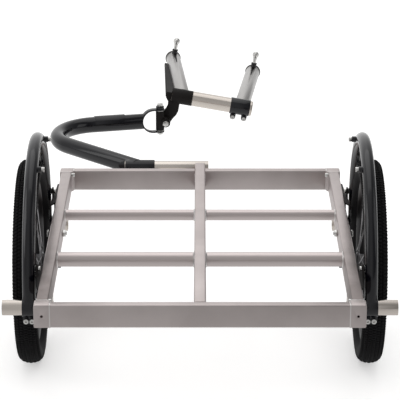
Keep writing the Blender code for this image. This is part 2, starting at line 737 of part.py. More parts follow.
def hoop_pieces():
    pieces = [hoop(side) for side in (LEFT, RIGHT)]
    for end in (REAR, FRONT):
        for side in (LEFT, RIGHT):
            pieces += [stub_tube(end, side), hoop_stay(end, side)]
    return pieces


# Axle carriers and axles


def axle_carrier(side):
    """The welded socket under the side rail that holds the axle, with the plate bolted up its outer face."""
    plate_inner = RAIL_OUTER + GAP
    plate_outer = plate_inner + CARRIER_PLATE
    start = (side * STUB_INNER_OUT, 0, AXLE_Z)
    end = (side * plate_outer, 0, AXLE_Z)
    socket = rod(f"axle_carrier_{SIDE_NAMES[side]}", start, end, CARRIER_DIAMETER / 2)
    near, far = sorted((side * (RAIL_OUTER - BITE), side * (RAIL_INNER + BITE)))
    saddle = block(
        "saddle",
        (near, -SADDLE_LENGTH / 2, AXLE_Z + CARRIER_DIAMETER / 4),
        (far, SADDLE_LENGTH / 2, RAIL_BOTTOM_Z - GAP),
    )
    eye = (0, AXLE_Z)
    bolt_eye = (CARRIER_BOLT_AHEAD, RAIL_MIDDLE_Z)
    outline = link_outline(eye, CARRIER_EYE_RADIUS, bolt_eye, CARRIER_BOLT_EYE)
    middle = side * (plate_inner + CARRIER_PLATE / 2)
    plate = slab("plate", [outline], CARRIER_PLATE, frame_of((middle, 0, 0), Y_AXIS, Z_AXIS))
    join(socket, saddle, plate)
    past = X_AXIS * side * PAST
    cut(socket, rod("bore", Vector(start) - past, Vector(end) + past, AXLE_RADIUS + GAP))
    bolt_start = (side * (plate_inner - PAST), *bolt_eye)
    bolt_end = (side * (plate_outer + PAST), *bolt_eye)
    cut(socket, rod("bolt_hole", bolt_start, bolt_end, CARRIER_BOLT_RADIUS + GAP, 16))
    return finished(socket, "black_paint")


def carrier_bolt(side):
    """The bolt through the rail, head outside, its nut on the rail's inner face."""
    head_face = RAIL_OUTER + CARRIER_PLATE + 2 * GAP
    nut_face = RAIL_INNER - GAP
    place = (CARRIER_BOLT_AHEAD, RAIL_MIDDLE_Z)
    tip = nut_face - NUT_HEIGHT - BOLT_END
    name = f"carrier_bolt_{SIDE_NAMES[side]}"
    shank = rod(name, (side * (head_face + BITE), *place), (side * tip, *place), CARRIER_BOLT_RADIUS, 16)
    top = head_face + CARRIER_HEAD_HEIGHT
    head = rod("head", (side * head_face, *place), (side * top, *place), NUT_RADIUS, 16)
    nut = rod("nut", (side * nut_face, *place), (side * (nut_face - NUT_HEIGHT), *place), NUT_RADIUS, 6)
    return finished(join(shank, head, nut), "bright_steel")


def axle(side):
    """The stub axle the wheel turns on, flanged outside the hub and with its nut inside the rail."""
    flange = HUB_OUTER_OUT + GAP
    nut_face = STUB_INNER_OUT - GAP
    place = (0, AXLE_Z)
    tip = nut_face - AXLE_NUT_HEIGHT - BOLT_END
    top = flange + AXLE_HEAD_WIDTH
    inner = nut_face - AXLE_NUT_HEIGHT
    shaft = rod(f"axle_{SIDE_NAMES[side]}", (side * tip, *place), (side * (top - BITE), *place), AXLE_RADIUS)
    head = rod("head", (side * flange, *place), (side * top, *place), AXLE_NUT_RADIUS, 6)
    nut = rod("nut", (side * nut_face, *place), (side * inner, *place), AXLE_NUT_RADIUS, 6)
    return finished(join(shaft, head, nut), "bright_steel")


def carrier_pieces():
    return [make(side) for make in (axle_carrier, carrier_bolt, axle) for side in (LEFT, RIGHT)]


# Wheels, built about their own middle with the axle along X


def tyre(name):
    """A tyre turned from its section: a round crown that draws in to the beads."""
    crown, half = WHEEL_RADIUS, TYRE_WIDTH / 2
    bead_half = RIM_WIDTH / 2 - BEAD_DEPTH
    outside = [
        (RIM_RADIUS - BEAD_DEPTH, bead_half),
        (RIM_RADIUS + TYRE_FOOT_RISE, RIM_WIDTH / 2 - BITE),
        (RIM_RADIUS + TYRE_BULGE, half),
    ]
    outside += [(crown - depth, half * share) for depth, share in TYRE_SHOULDERS]
    mirrored = [(radius, -across) for radius, across in reversed(outside)]
    foot = RIM_RADIUS + TYRE_HOLLOW_RISE
    inside = [(foot, -bead_half), (crown - TYRE_CROWN_THICKNESS, 0), (foot, bead_half)]
    section = outside + mirrored + inside
    return finished(turned(name, section, (0, 0, 0), X_AXIS, WHEEL_SIDES, hollow=True), "tyre_rubber")


def rim(name):
    """A box-section rim with a shallow well between its flanges."""
    half = RIM_WIDTH / 2
    floor = RIM_RADIUS - RIM_WELL_DEPTH
    inner = RIM_INNER_RADIUS
    upper = [(RIM_RADIUS, half), (RIM_RADIUS, half - RIM_LIP), (floor, half - RIM_FLANGE)]
    lower = [(radius, -across) for radius, across in reversed(upper)]
    section = upper + lower + [(inner, -RIM_NOSE), (inner, RIM_NOSE)]
    return finished(turned(name, section, (0, 0, 0), X_AXIS, WHEEL_SIDES, hollow=True), "rim_black")


def hub(name):
    """The hub shell with its spokes laced to both flanges."""
    half = HUB_WIDTH / 2
    flange_out = FLANGE_SPACING / 2
    flange_in = flange_out - FLANGE_WIDTH
    seat = half - BEARING_WIDTH
    outside = [
        (HUB_RADIUS, half - GAP),
        (HUB_RADIUS, flange_out),
        (FLANGE_RADIUS, flange_out),
        (FLANGE_RADIUS, flange_in),
        (HUB_RADIUS - HUB_WAIST, flange_in - HUB_SLOPE),
    ]
    bore = [
        (BEARING_RADIUS + GAP, half - GAP),
        (BEARING_RADIUS + GAP, seat),
        (AXLE_RADIUS + RUNNING + HUB_BORE_CLEARANCE, seat),
    ]
    section = outside + [(r, -x) for r, x in reversed(outside)] + [(r, -x) for r, x in bore]
    section += [(r, x) for r, x in reversed(bore)]
    shell = turned(name, section, (0, 0, 0), X_AXIS, SIDES, hollow=True)
    reach = RIM_INNER_RADIUS * math.cos(math.pi / WHEEL_SIDES) - 2 * GAP
    root = FLANGE_RADIUS - SPOKE_INSET
    bite = SPOKE_RADIUS / 2
    for index in range(SPOKE_COUNT):
        turn = 2 * math.pi * index / SPOKE_COUNT
        flange = 1 if index % 2 else -1
        pulling = index % 4 < 2
        face = flange_out + bite if pulling else flange_in - bite
        lead = math.radians(SPOKE_LEAD) * (1 if pulling else -1)
        start = (flange * face, root * math.cos(turn + lead), root * math.sin(turn + lead))
        end = (flange * SPOKE_STAGGER, reach * math.cos(turn), reach * math.sin(turn))
        join(shell, rod("spoke", start, end, SPOKE_RADIUS, 5))
    return finished(shell, "hub_grey")


def bearing(name, side):
    """A sealed bearing in its seat at one end of the hub."""
    outer = side * (HUB_WIDTH / 2 - GAP)
    inner = side * (HUB_WIDTH / 2 - BEARING_WIDTH + GAP)
    ring = pipe(name, (inner, 0, 0), (outer, 0, 0), BEARING_RADIUS, AXLE_RADIUS + RUNNING)
    return finished(ring, "bright_steel")


def wheel_pieces(side):
    tag = SIDE_NAMES[side]
    pieces = [tyre(f"tyre_{tag}"), rim(f"rim_{tag}"), hub(f"hub_{tag}")]
    pieces += [bearing(f"bearing_inner_{tag}", -side), bearing(f"bearing_outer_{tag}", side)]
    return pieces


# Drawbar, built about the mount tube's axis


def drawbar_path():
    """The centre line: a leg out to the left, a bend and a leg back to the middle."""
    corner = Vector(DRAWBAR_CORNER)
    leg = Vector((math.cos(math.radians(DRAWBAR_LEG_ANGLE)), math.sin(math.radians(DRAWBAR_LEG_ANGLE))))
    tip = Vector((math.cos(math.radians(DRAWBAR_END_ANGLE)), math.sin(math.radians(DRAWBAR_END_ANGLE))))
    turn = math.radians(DRAWBAR_LEG_ANGLE - DRAWBAR_END_ANGLE)
    tangent = DRAWBAR_BEND_RADIUS * math.tan(turn / 2)
    centre = corner - leg * tangent + Vector((leg.y, -leg.x)) * DRAWBAR_BEND_RADIUS
    bend = arc(centre, DRAWBAR_BEND_RADIUS, DRAWBAR_LEG_ANGLE + 90, DRAWBAR_END_ANGLE + 90, 12)
    foot = corner - leg * ((corner.x - DRAWBAR_FOOT_X) / leg.x)
    return [tuple(foot), *bend, tuple(corner + tip * DRAWBAR_END_LENGTH)], tip


def drawbar():
    """The bent tube with its clamp, hollow and coped round the strap."""
    path, tip = drawbar_path()
    points = [Vector((x, y, 0)) for x, y in path]
    leg = (points[1] - points[0]).normalized()
    tip = Vector((tip.x, tip.y, 0))
    across = tip.cross(Z_AXIS) * DRAWBAR_DIAMETER
    strap_back = points[-1]
    bar = swept("drawbar", [*points[:-1], strap_back + tip * DRAWBAR_LIPS], DRAWBAR_DIAMETER / 2)
    bore_start = points[0] + leg * DRAWBAR_DIAMETER
    bore_end = strap_back + tip * (DRAWBAR_LIPS + PAST)
    cut(bar, swept("bore", [bore_start, *points[1:-1], bore_end], DRAWBAR_DIAMETER / 2 - TUBE_WALL, bevel=4))
    curve = STRAP_HEIGHT / 2 + GAP
    strap_middle = strap_back + tip * curve
    cut(bar, rod("cope", strap_middle - across, strap_middle + across, curve, SIDES * 2))
    middle = Vector((MOUNT_LEFT + BITE + DRAWBAR_CLAMP_LENGTH / 2, 0, 0))
    grip, sleeve = MOUNT_DIAMETER / 2, DRAWBAR_CLAMP_DIAMETER / 2
    past = X_AXIS * DRAWBAR_CLAMP_LENGTH
    cut(bar, rod("seat", middle - past, middle + past, (grip + sleeve) / 2))
    join(bar, made_clamp(middle, X_AXIS, grip, sleeve, DRAWBAR_CLAMP_LENGTH, DRAWBAR_PINCH_SPACING))
    return finished(bar, "black_paint")


def hitch_strap(end, tip):
    """The D-shaped strap on the drawbar's end that holds the kingpin top and bottom."""
    radius = STRAP_HEIGHT / 2
    inner = radius - STRAP_THICKNESS
    half = STRAP_WIDTH / 2
    reach = KINGPIN_AHEAD + STRAP_EYE_RADIUS + PAST
    middle = (radius + GAP, 0)
    outline = [(reach, radius), *arc(middle, radius, 90, 270, 16), (reach, -radius)]
    outline += [(reach, -inner), *arc(middle, inner, 270, 90, 16), (reach, inner)]
    along = Vector((tip.x, tip.y, 0))
    across = Vector((-tip.y, tip.x, 0))
    strap = slab("hitch_strap", [outline], STRAP_EYE_RADIUS * 3, frame_of((*end, 0), along, Z_AXIS))
    lean = math.degrees(math.asin(half / STRAP_EYE_RADIUS))
    eye = arc((KINGPIN_AHEAD, 0), STRAP_EYE_RADIUS, lean - 180, 180 - lean, 12)
    plan = [(-BITE, half), (-BITE, -half), *eye]
    combine(strap, slab("trim", [plan], STRAP_HEIGHT * 2, frame_of((*end, 0), along, across)), "INTERSECT")
    kingpin = Vector((*end, 0)) + along * KINGPIN_AHEAD
    up = Z_AXIS * STRAP_HEIGHT
    cut(strap, rod("hole", kingpin - up, kingpin + up, KINGPIN_RADIUS + GAP))
    return finished(strap, "black_paint")


def kingpin_pieces(kingpin):
    """The kingpin bolt with its nut, the collar under its head and the washers at the barrel's ends."""
    half = STRAP_HEIGHT / 2
    collar_top = half + GAP + COLLAR_HEIGHT
    head_low = collar_top + GAP
    nut_top = -half - GAP

    def at(height):
        return Vector(kingpin) + Z_AXIS * height

    tip = nut_top - KINGPIN_NUT_HEIGHT - KINGPIN_END
    bolt = rod("kingpin_bolt", at(tip), at(head_low + BITE), KINGPIN_RADIUS)
    join(bolt, rod("head", at(head_low), at(head_low + KINGPIN_HEAD_HEIGHT), KINGPIN_HEAD_RADIUS, 6))
    join(bolt, rod("nut", at(nut_top), at(nut_top - KINGPIN_NUT_HEIGHT), KINGPIN_HEAD_RADIUS, 6))
    collar = pipe("kingpin_collar", at(half + GAP), at(collar_top), COLLAR_RADIUS, KINGPIN_RADIUS + GAP)
    face = half - STRAP_THICKNESS - GAP
    bore = KINGPIN_RADIUS + GAP
    upper = pipe("kingpin_washer_upper", at(face - WASHER_THICKNESS), at(face), WASHER_RADIUS, bore)
    lower = pipe("kingpin_washer_lower", at(-face), at(WASHER_THICKNESS - face), WASHER_RADIUS, bore)
    return [
        finished(bolt, "bright_steel"),
        finished(collar, "black_paint"),
        finished(upper, "bright_steel"),
        finished(lower, "bright_steel"),
    ]


def hitch_block():
    """The barrel on the kingpin with the lug for the roll bolt, built about the kingpin's middle."""
    half = STRAP_HEIGHT / 2 - STRAP_THICKNESS - WASHER_THICKNESS - 2 * GAP
    barrel = rod("hitch_block", (0, 0, -half), (0, 0, half), BARREL_RADIUS)
    lug_start = Vector((ROLL_OUT, -LUG_LENGTH / 2, -ROLL_DROP))
    lug_end = Vector((ROLL_OUT, LUG_LENGTH / 2, -ROLL_DROP))
    lug = rod("lug", lug_start, lug_end, LUG_RADIUS)
    web = block(
        "web",
        (0, -LUG_LENGTH / 3, -ROLL_DROP - LUG_RADIUS * 0.8),
        (ROLL_OUT, LUG_LENGTH / 3, -ROLL_DROP + LUG_RADIUS * 0.8),
    )
    join(barrel, web, lug)
    up = Z_AXIS * STRAP_HEIGHT
    ahead = Y_AXIS * LUG_LENGTH
    cut(barrel, rod("bolt_bore", lug_start - ahead, lug_end + ahead, ROLL_BOLT_RADIUS + RUNNING))
    cut(barrel, rod("pin_bore", -up, up, KINGPIN_RADIUS + RUNNING))
    return finished(barrel, "black_paint")


# Yoke, built about the roll bolt with the crossbar level


def arm_direction(side):
    splay = math.radians(ARM_SPLAY)
    return Vector((side * math.sin(splay), math.cos(splay), 0))


def crossbar_point(x):
    return Vector((x, CROSSBAR_AHEAD, YOKE_RISE))


def arm_foot(side):
    return crossbar_point(LEFT_ARM_X if side == LEFT else LEFT_ARM_X + ARM_SPACING)


def roll_bolt():
    """The bolt the yoke rolls on, its head behind the lug and its nut before the yoke's plate."""
    head_face = -LUG_LENGTH / 2 - GAP
    nut_face = LUG_LENGTH / 2 + YOKE_PLATE + 2 * GAP
    tip = nut_face + ROLL_NUT_HEIGHT + ROLL_BOLT_END
    bolt = rod("roll_bolt", (0, head_face - BITE, 0), (0, tip, 0), ROLL_BOLT_RADIUS)
    join(bolt, rod("head", (0, head_face, 0), (0, head_face - ROLL_HEAD_HEIGHT, 0), ROLL_HEAD_RADIUS, 6))
    join(bolt, rod("nut", (0, nut_face, 0), (0, nut_face + ROLL_NUT_HEIGHT, 0), ROLL_HEAD_RADIUS, 6))
    return finished(bolt, "bright_steel")


def yoke_bracket():
    """The cranked plate from the roll bolt, the left sleeve and the long gusset beside the left arm."""
    top = YOKE_RISE + YOKE_PLATE_TOP
    outline = [
        *arc((0, 0), LUG_RADIUS, 160, 325, 8),
        *YOKE_PLATE_RIGHT_EDGE,
        (YOKE_PLATE_RIGHT_EDGE[-1][0], top),
        (YOKE_PLATE_LEFT, top),
        *YOKE_PLATE_LEFT_EDGE,
    ]
    plate_back = LUG_LENGTH / 2 + GAP
    plate_frame = frame_of((0, plate_back + YOKE_PLATE / 2, 0), X_AXIS, Z_AXIS)
    plate = slab("yoke_bracket", [outline], YOKE_PLATE, plate_frame)
    radius = LEFT_SLEEVE_DIAMETER / 2
    sleeve = rod("sleeve", crossbar_point(LEFT_SLEEVE[0]), crossbar_point(LEFT_SLEEVE[1]), radius)
    foot, along = arm_foot(LEFT), arm_direction(LEFT)
    beside = Vector((-along.y, along.x, 0))
    inner = foot + beside * ARM_RADIUS / 2
    tip = inner + along * GUSSET_REACH
    edge = foot + beside * (ARM_RADIUS + YOKE_GUSSET_TIP) + along * GUSSET_REACH
    gusset_back = plate_back + FLUSH
    gusset_plan = [
        (YOKE_PLATE_LEFT + FLUSH, gusset_back),
        (LEFT_SLEEVE[0] + PAST, gusset_back),
        (inner.x, inner.y),
        (tip.x, tip.y),
        (edge.x, edge.y),
    ]
    gusset_frame = Matrix.Translation((0, 0, YOKE_RISE))
    gusset = slab("gusset", [gusset_plan], YOKE_GUSSET_THICKNESS, gusset_frame)
    join(plate, sleeve, gusset)
    start = crossbar_point(LEFT_SLEEVE[0] - FLUSH)
    end = crossbar_point(LEFT_SLEEVE[1] + PAST)
    cut(plate, rod("bore", start, end, SPIGOT_DIAMETER / 2 + GAP))
    cut(plate, rod("arm_clearance", foot + along * radius, foot + along * ARM_LENGTH, ARM_RADIUS + GAP))
    cut(plate, rod("hole", (0, 0, 0), (0, LUG_LENGTH, 0), ROLL_BOLT_RADIUS + GAP))
    return finished(plate, "black_paint")


def crossbar():
    """The tube the right clamp slides on, thinner where it enters the left sleeve."""
    start = crossbar_point(LEFT_SLEEVE[0] + GAP)
    length = CROSSBAR_END - CAP_THICKNESS - GAP - start.x
    shoulder = LEFT_SLEEVE[1] + GAP - start.x
    radius, spigot = CROSSBAR_DIAMETER / 2, SPIGOT_DIAMETER / 2
    inner = spigot - TUBE_WALL
    outside = [(radius, length), (radius, shoulder), (spigot, shoulder), (spigot, 0)]
    profile = [*outside, (inner, 0), (inner, length)]
    return finished(turned("crossbar", profile, start, X_AXIS, hollow=True), "polished_aluminium")


def crossbar_cap():
    """The plug that closes the crossbar's right end."""
    radius = CROSSBAR_DIAMETER / 2
    plug = SPIGOT_DIAMETER / 2 - TUBE_WALL - GAP
    depth = CAP_THICKNESS + CAP_PLUG
    rim = [(0, 0), (radius, 0), (radius, -CAP_THICKNESS)]
    profile = [*rim, (plug, -CAP_THICKNESS), (plug, -depth), (0, -depth)]
    cap = turned("crossbar_cap", profile, crossbar_point(CROSSBAR_END), X_AXIS)
    return finished(cap, "polished_aluminium")


def pin_foot(side):
    """Where a pull pin's axis crosses its arm's."""
    return arm_foot(side) + arm_direction(side) * (ARM_LENGTH - PIN_SETBACK)


def hitch_arm(side):
    """An arm coped to its sleeve, slotted along the top of its far end."""
    foot, along = arm_foot(side), arm_direction(side)
    tip = foot + along * ARM_LENGTH
    arm = pipe(f"arm_{SIDE_NAMES[side]}", foot, tip, ARM_RADIUS, ARM_RADIUS - TUBE_WALL)
    reach = X_AXIS * ARM_DIAMETER
    sleeve = LEFT_SLEEVE_DIAMETER / 2 if side == LEFT else RIGHT_CLAMP_DIAMETER / 2
    cut(arm, rod("cope", foot - reach, foot + reach, sleeve + GAP, SIDES * 2))
    half, root = SLOT_WIDTH / 2, SLOT_ROOT_WIDTH / 2
    plan = [(half, PAST), (-half, PAST), (-root, -SLOT_LENGTH), (root, -SLOT_LENGTH)]
    across = Vector((along.y, -along.x, 0))
    slot_frame = frame_of(tip + Z_AXIS * ARM_RADIUS, across, along)
    cut(arm, slab("slot", [plan], ARM_RADIUS, slot_frame))
    pin = pin_foot(side)
    cut(arm, rod("collar_hole", pin, pin + Z_AXIS * (ARM_RADIUS + PAST), PIN_COLLAR_RADIUS + GAP, 16))
    return finished(arm, "polished_aluminium")


def arm_socket(side):
    """The black insert in an arm's end, with the collar that guides the pull pin."""
    foot, along = arm_foot(side), arm_direction(side)
    tip = foot + along * ARM_LENGTH
    plug = ARM_RADIUS - TUBE_WALL - GAP
    width = SOCKET_FLANGE_WIDTH
    profile = [
        (SOCKET_BORE_RADIUS, width),
        (SOCKET_FLANGE_RADIUS, width),
        (SOCKET_FLANGE_RADIUS, GAP),
        (plug, GAP),
        (plug, -SOCKET_DEPTH),
        (0, -SOCKET_DEPTH),
        (0, -SOCKET_BORE_DEPTH),
        (SOCKET_BORE_RADIUS, -SOCKET_BORE_DEPTH),
    ]
    socket = turned(f"arm_socket_{SIDE_NAMES[side]}", profile, tip, along, hollow=True)
    pin = pin_foot(side)
    low, top = plug - PIN_COLLAR_ROOT, ARM_RADIUS + PIN_COLLAR_RISE
    join(socket, rod("collar", pin + Z_AXIS * low, pin + Z_AXIS * top, PIN_COLLAR_RADIUS, 16))
    cut(socket, rod("pin_hole", pin, pin + Z_AXIS * (top + PAST), PIN_RADIUS + RUNNING, 16))
    return finished(socket, "black_plastic")


def pull_pin(side):
    """A pull pin with its ball knob, built about its own place on the arm's axis."""
    top = ARM_RADIUS + PIN_COLLAR_RISE + GAP
    knob = ARM_RADIUS + PIN_KNOB_RISE
    ball = arc((0, knob), PIN_KNOB_RADIUS, 90, -60, 6)
    profile = [
        *ball[:-1],
        (PIN_NECK_RADIUS, knob - PIN_KNOB_RADIUS * 0.88),
        (PIN_NECK_FOOT_RADIUS, top),
        (PIN_RADIUS, top),
        (PIN_RADIUS, -SOCKET_BORE_RADIUS * 0.5),
        (0, -SOCKET_BORE_RADIUS * 0.5),
    ]
    profile[0] = (0, profile[0][1])
    return finished(turned(f"pull_pin_{SIDE_NAMES[side]}", profile, (0, 0, 0), Z_AXIS, 12), "bright_steel")


def right_clamp():
    """The sleeve that clamps the right arm where the axle's width needs it."""
    centre = arm_foot(RIGHT) + X_AXIS * RIGHT_CLAMP_SHIFT
    grip, sleeve = CROSSBAR_DIAMETER / 2, RIGHT_CLAMP_DIAMETER / 2
    clamp = made_clamp(centre, X_AXIS, grip, sleeve, RIGHT_CLAMP_LENGTH, YOKE_PINCH_SPACING)
    clamp.name = "right_clamp"
    return finished(clamp, "black_paint")


def shifted(piece, offset):
    """Moves a piece that was built in its parent's parent's frame."""
    piece.matrix_world = Matrix.Translation(-Vector(offset)) @ piece.matrix_world
    return piece


def stand_on_floor(root, pieces):
    """Moves the trailer so that the middle of its plan is over the origin and its tyres touch Z = 0."""
    bpy.context.view_layer.update()
    corners = [piece.matrix_world @ vertex.co for piece in pieces for vertex in piece.data.vertices]
    low = Vector([min(corner[axis] for corner in corners) for axis in range(3)])
    high = Vector([max(corner[axis] for corner in corners) for axis in range(3)])
    root.location = (-(low.x + high.x) / 2, -(low.y + high.y) / 2, -low.z)
    bpy.context.view_layer.update()


def build():
    root = pivot("trailer", (0, 0, 0))
    chassis = bed_pieces() + hoop_pieces() + carrier_pieces()
    carry(root, *chassis)
    pieces = list(chassis)

    for side in (LEFT, RIGHT):
        spin = pivot(f"wheel_{SIDE_NAMES[side]}_axis", (side * WHEEL_OUT, 0, AXLE_Z), root)
        parts = wheel_pieces(side)
        carry(spin, *parts)
        pieces += parts

    tilt = pivot("drawbar_axis", (0, MOUNT_Y, MOUNT_Z), root)
    path, tip = drawbar_path()
    end = Vector(path[-1])
    kingpin = end + tip * KINGPIN_AHEAD
    parts = [drawbar(), hitch_strap(end, tip), *kingpin_pieces((*kingpin, 0))]
    carry(tilt, *parts)
    pieces += parts

    yaw = pivot("kingpin_axis", (*kingpin, 0), tilt, (0, 0, math.radians(YAW_AT_REST)))
    parts = [hitch_block()]
    carry(yaw, *parts)
    pieces += parts

    roll = pivot("roll_axis", (ROLL_OUT, 0, -ROLL_DROP), yaw, (0, math.radians(ROLL_AT_REST), 0))
    parts = [roll_bolt(), yoke_bracket(), crossbar(), crossbar_cap(), hitch_arm(LEFT), arm_socket(LEFT)]
    carry(roll, *parts)
    pieces += parts

    right_foot = arm_foot(RIGHT)
    slide = pivot("right_arm_slide", right_foot, roll)
    parts = [shifted(piece, right_foot) for piece in (right_clamp(), hitch_arm(RIGHT), arm_socket(RIGHT))]
    carry(slide, *parts)
    pieces += parts

    for side, parent, offset in ((LEFT, roll, Vector((0, 0, 0))), (RIGHT, slide, right_foot)):
        holder = pivot(f"pull_pin_{SIDE_NAMES[side]}_slide", pin_foot(side) - offset, parent)
        pin = pull_pin(side)
        carry(holder, pin)
        pieces.append(pin)

    stand_on_floor(root, pieces)


build()
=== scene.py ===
# %% [markdown]
# # A flatbed bicycle trailer, dressed and lit
# This lesson starts from a finished CAD model of a bicycle trailer: a bare aluminium bed, two wheels
# under black guard hoops, and a bent drawbar with a two-armed hitch. The CAD solids are exact but
# faceted and plain. Each step below takes one part of the trailer, says what it is on the real thing,
# and gives it its smooth shape, its small parts and its surface.

# %% Load the CAD model as the frame
import json
import math

import bpy
from mathutils import Matrix, Vector


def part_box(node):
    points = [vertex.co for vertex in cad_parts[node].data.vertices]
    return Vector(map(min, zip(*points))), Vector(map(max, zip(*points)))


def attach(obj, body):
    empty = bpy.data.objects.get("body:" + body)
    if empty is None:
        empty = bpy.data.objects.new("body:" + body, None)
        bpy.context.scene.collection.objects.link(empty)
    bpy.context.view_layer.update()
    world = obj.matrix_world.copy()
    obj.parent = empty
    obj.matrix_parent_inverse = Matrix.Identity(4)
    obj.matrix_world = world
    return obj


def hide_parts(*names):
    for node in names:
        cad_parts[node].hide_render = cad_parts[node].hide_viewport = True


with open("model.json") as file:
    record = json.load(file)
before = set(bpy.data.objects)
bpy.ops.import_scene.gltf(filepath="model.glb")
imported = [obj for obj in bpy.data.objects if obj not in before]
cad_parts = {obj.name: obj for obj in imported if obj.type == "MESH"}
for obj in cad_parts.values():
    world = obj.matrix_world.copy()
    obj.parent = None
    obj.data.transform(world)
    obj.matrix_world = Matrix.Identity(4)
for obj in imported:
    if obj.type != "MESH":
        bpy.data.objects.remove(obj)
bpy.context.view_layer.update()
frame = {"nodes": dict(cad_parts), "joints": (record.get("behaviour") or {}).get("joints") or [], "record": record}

joints = {joint["name"]: joint for joint in frame["joints"]}
print("CAD nodes:", len(frame["nodes"]), "joints:", len(joints))

# %% [markdown]
# ## The camera
# The photograph was taken from behind and above with a long lens: the bed narrows only a little from
# back to front. A long lens far away gives that. The distance and height come from how much narrower
# the bed's front edge looks than its rear edge, both of which have the same real width.

# %% The camera
BED_MIDDLE_Y = sum(corner.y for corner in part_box("side_rail_left")) / 2
DECK_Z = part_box("side_rail_left")[1].z
CAMERA_BEHIND = 4.034
CAMERA_ABOVE_DECK = 1.438
CAMERA_PITCH = 71.2
LENS = 192.3
SENSOR_WIDTH = 36.0

bpy.ops.object.camera_add(
    location=(0.0, BED_MIDDLE_Y - CAMERA_BEHIND, DECK_Z + CAMERA_ABOVE_DECK),
    rotation=(math.radians(CAMERA_PITCH), 0.0, 0.0),
)
camera = bpy.context.object
camera.name = "photo_camera"
camera.data.lens = LENS
camera.data.sensor_width = SENSOR_WIDTH
bpy.context.scene.camera = camera
print("Camera at", tuple(round(value, 3) for value in camera.location))

# %% [markdown]
# ## Colours and nodes
# Colours are written as the hex values that a paint program shows. Blender's shaders work with linear
# light, so one function turns the one into the other. A second small function adds a node, fills in its
# settings and links what feeds it, which keeps each material below down to a few lines.


# %% Colour and node helpers
def colour(hex_value):
    """A shader colour from an sRGB hex value such as "#c8c2c0"."""
    parts = [int(hex_value[place:place + 2], 16) / 255 for place in (1, 3, 5)]
    linear = [part / 12.92 if part <= 0.04045 else ((part + 0.055) / 1.055) ** 2.4 for part in parts]
    return (*linear, 1.0)


def add_node(tree, kind, inputs, **settings):
    """A new node with its settings, and its inputs set to values or linked to other nodes' sockets."""
    node = tree.nodes.new(kind)
    for name, value in settings.items():
        setattr(node, name, value)
    for name, value in inputs.items():
        if isinstance(value, bpy.types.NodeSocket):
            tree.links.new(value, node.inputs[name])
        else:
            node.inputs[name].default_value = value
    return node


def new_material(name, **values):
    """A material with one Principled shader, and that material's node tree and shader."""
    material = bpy.data.materials.new(name)
    material.use_nodes = True
    shader = material.node_tree.nodes["Principled BSDF"]
    for socket, value in values.items():
        shader.inputs[socket.replace("_", " ")].default_value = value
    return material, material.node_tree, shader


def blended(tree, factor, dark, light):
    """A colour that runs between two hex values as factor runs from 0 to 1."""
    inputs = {0: factor, 6: colour(dark), 7: colour(light)}
    return add_node(tree, "ShaderNodeMix", inputs, data_type="RGBA").outputs[2]


def ranged(tree, factor, low, high, start=0.0, end=1.0):
    """A number that runs from low to high as factor runs from start to end."""
    inputs = {"Value": factor, "From Min": start, "From Max": end, "To Min": low, "To Max": high}
    return add_node(tree, "ShaderNodeMapRange", inputs).outputs["Result"]


def computed(tree, operation, first, second, **settings):
    """The result of a Math node on two numbers."""
    inputs = {0: first, 1: second}
    return add_node(tree, "ShaderNodeMath", inputs, operation=operation, **settings).outputs[0]


def coordinate(tree, kind, axis):
    """How far along an axis the shaded point lies."""
    place = add_node(tree, "ShaderNodeTexCoord", {}).outputs[kind]
    return add_node(tree, "ShaderNodeSeparateXYZ", {"Vector": place}).outputs[axis]


print("Plain white in linear light:", colour("#ffffff")[:3])

# %% [markdown]
# ## One recipe for every finish
# Paint, plating, rubber and bare metal differ in their tones, in how glossy they are and in the fine
# relief that breaks their highlights. All three vary a little over a real surface. So one function makes
# them all: a noise on the piece itself moves the gloss, another one drives a small bump, and where the
# finish is cloudy a third runs between two tones. A noise is given by the size of its blobs in metres and
# its detail, and by a stretch where the finish has a grain.


# %% The recipe
EVEN = (1.0, 1.0, 1.0)
CLOUD_SPREAD = (0.35, 0.65)


def grain(tree, size, detail, stretch=EVEN):
    """Noise on the piece itself, whose blobs are about size metres across."""
    place = add_node(tree, "ShaderNodeTexCoord", {}).outputs["Object"]
    scaled = add_node(tree, "ShaderNodeMapping", {"Vector": place, "Scale": stretch}).outputs["Vector"]
    inputs = {"Vector": scaled, "Scale": 1.0 / size, "Detail": detail}
    return add_node(tree, "ShaderNodeTexNoise", inputs).outputs["Fac"]


def surface(name, tones, gloss, sheen, relief, depth, clouds=None, spread=CLOUD_SPREAD, **values):
    """A finish: sheen moves its roughness over gloss, relief bumps it, clouds run between its tones."""
    material, tree, shader = new_material(name, **values)
    if clouds:
        share = ranged(tree, grain(tree, *clouds), 0.0, 1.0, *spread)
        tree.links.new(blended(tree, share, *tones), shader.inputs["Base Color"])
    else:
        shader.inputs["Base Color"].default_value = colour(tones)
    tree.links.new(ranged(tree, grain(tree, *sheen), *gloss), shader.inputs["Roughness"])
    bump = add_node(tree, "ShaderNodeBump", {"Height": grain(tree, *relief), "Distance": depth})
    tree.links.new(bump.outputs["Normal"], shader.inputs["Normal"])
    return material


print("A cloud's tones blend between", CLOUD_SPREAD, "of its noise")

# %% [markdown]
# ## Bead-blasted aluminium
# The bed is welded from bare aluminium tube and then blasted with fine glass beads, which takes off the
# mill marks and leaves an even satin. To the eye it is a soft, slightly warm grey with no sharp
# reflection. The beads leave pits about 0.2 mm wide: they are drawn at 1.2 mm here, because finer ones
# would vanish in the picture. Handling leaves broad, barely darker clouds. The side rails carry painted
# shade: their colour darkens towards the rear, standing in for the dimmer reflection that their tops
# get next to the hoops and wheels. The ground weld beads are brighter than the tube.

# %% Bead-blasted aluminium
BLASTED = {"gloss": (0.40, 0.54), "sheen": (0.0035, 2.0), "relief": (0.0012, 1.0), "depth": 0.00012}
# Where the side rails' painted shade starts and ends along the bed, and how uneven its patches are.
SHADE_START_Y = BED_MIDDLE_Y - 0.02
SHADE_END_Y = BED_MIDDLE_Y - 0.34
SHADE_PATCHES = 0.12


